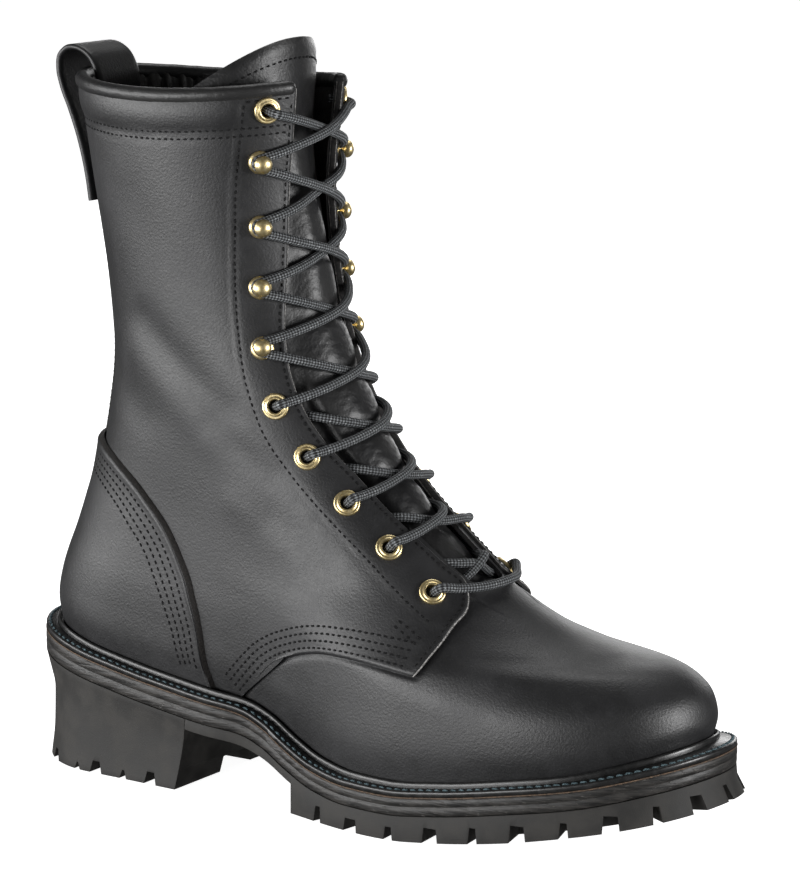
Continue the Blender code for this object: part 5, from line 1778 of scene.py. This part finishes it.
PHOTO_WIDTH = 800
PHOTO_HEIGHT = 882
CAMERA_TURN = 31.15
CAMERA_RISE = 10.97
CAMERA_ROLL = 0.79
CAMERA_DISTANCE = 1520.0
CAMERA_TARGET = (162.7, 0.39, 145.6)
FOCAL_PIXELS = 3831.0
SENSOR = 36.0

# Lights, in metres and watts: place, width and height, power
LIGHTS = {
    "left_box": ((-0.62, -1.30, 0.20), (1.7, 0.36), 25.0),
    "side_box": ((-1.45, -0.60, 0.40), (0.6, 0.7), 9.0),
    "right_box": ((1.47, 0.10, 0.32), (0.6, 0.5), 20.0),
    "top_box": ((-0.3, 0.7, 1.5), (0.8, 0.6), 6.0),
    "back_box": ((-0.5, 1.6, 0.40), (1.5, 0.5), 9.0),
}
LIGHT_AIM = (0.0, 0.0, 0.13)
SKY_STRENGTH = 0.08
FLOOR_REACH = 6.0
FLOOR_GLOW = 0.95
WHITE = (1.0, 1.0, 1.0, 1.0)


def make_camera():
    turn, rise = math.radians(CAMERA_TURN), math.radians(CAMERA_RISE)
    back = Vector((math.sin(turn) * math.cos(rise), -math.cos(turn) * math.cos(rise), math.sin(rise)))
    target = Vector((np.array(CAMERA_TARGET) + SHIFT) * MM)
    data = bpy.data.cameras.new("camera")
    data.sensor_width = SENSOR
    data.lens = FOCAL_PIXELS * SENSOR / max(PHOTO_WIDTH, PHOTO_HEIGHT)
    camera = bpy.data.objects.new("camera", data)
    look = (-back).to_track_quat("-Z", "Y").to_matrix().to_4x4()
    roll = Matrix.Rotation(math.radians(CAMERA_ROLL), 4, "Z")
    camera.matrix_world = Matrix.Translation(target + back * CAMERA_DISTANCE * MM) @ look @ roll
    bpy.context.collection.objects.link(camera)
    bpy.context.scene.camera = camera


def add_light(name, place, size, power):
    data = bpy.data.lights.new(name, "AREA")
    data.shape = "RECTANGLE"
    data.size, data.size_y = size
    data.energy = power
    light = bpy.data.objects.new(name, data)
    light.location = place
    light.rotation_euler = (Vector(LIGHT_AIM) - Vector(place)).to_track_quat("-Z", "Y").to_euler()
    bpy.context.collection.objects.link(light)


def make_studio():
    finish = Finish("floor_paper")
    grain = finish.noise(1.5, 3.0)
    paper = finish.surface(
        finish.mix(grain, (0.86, 0.86, 0.86), (0.90, 0.90, 0.90)), roughness=0.9,
        emission_color=WHITE, emission_strength=FLOOR_GLOW,
    )
    mesh = bpy.data.meshes.new("floor")
    corners = [(x * FLOOR_REACH, y * FLOOR_REACH, 0) for x, y in ((-1, -1), (1, -1), (1, 1), (-1, 1))]
    mesh.from_pydata(corners, [], [(0, 1, 2, 3)])
    mesh.materials.append(paper)
    floor = bpy.data.objects.new("floor", mesh)
    bpy.context.collection.objects.link(floor)
    floor.visible_glossy = False
    for name, (place, size, power) in LIGHTS.items():
        add_light(name, place, size, power)
    world = bpy.data.worlds.new("studio")
    world.use_nodes = True
    sky = world.node_tree.nodes["Background"]
    sky.inputs["Color"].default_value = WHITE
    sky.inputs["Strength"].default_value = SKY_STRENGTH
    bpy.context.scene.world = world
    bpy.context.scene.view_settings.view_transform = "Standard"


make_camera()
make_studio()
make_welt()
make_midsole()
make_insole()
make_heel()
make_outsole()
make_vamp()
make_lining()
make_quarter(-1, "quarter_outer")
make_quarter(1, "quarter_inner")
make_counter()
make_binding()
STITCH_ROWS = quarter_seams(-1) + quarter_seams(1)
STITCH_ROWS += counter_seams()
STITCH_ROWS += make_back_stay()
STITCH_ROWS += make_pull_loop()
STITCH_ROWS += make_tongue()
add_piece("upper_stitching", *join(STITCH_ROWS), [BLACK_THREAD], "leather")
make_hardware()
make_lace()
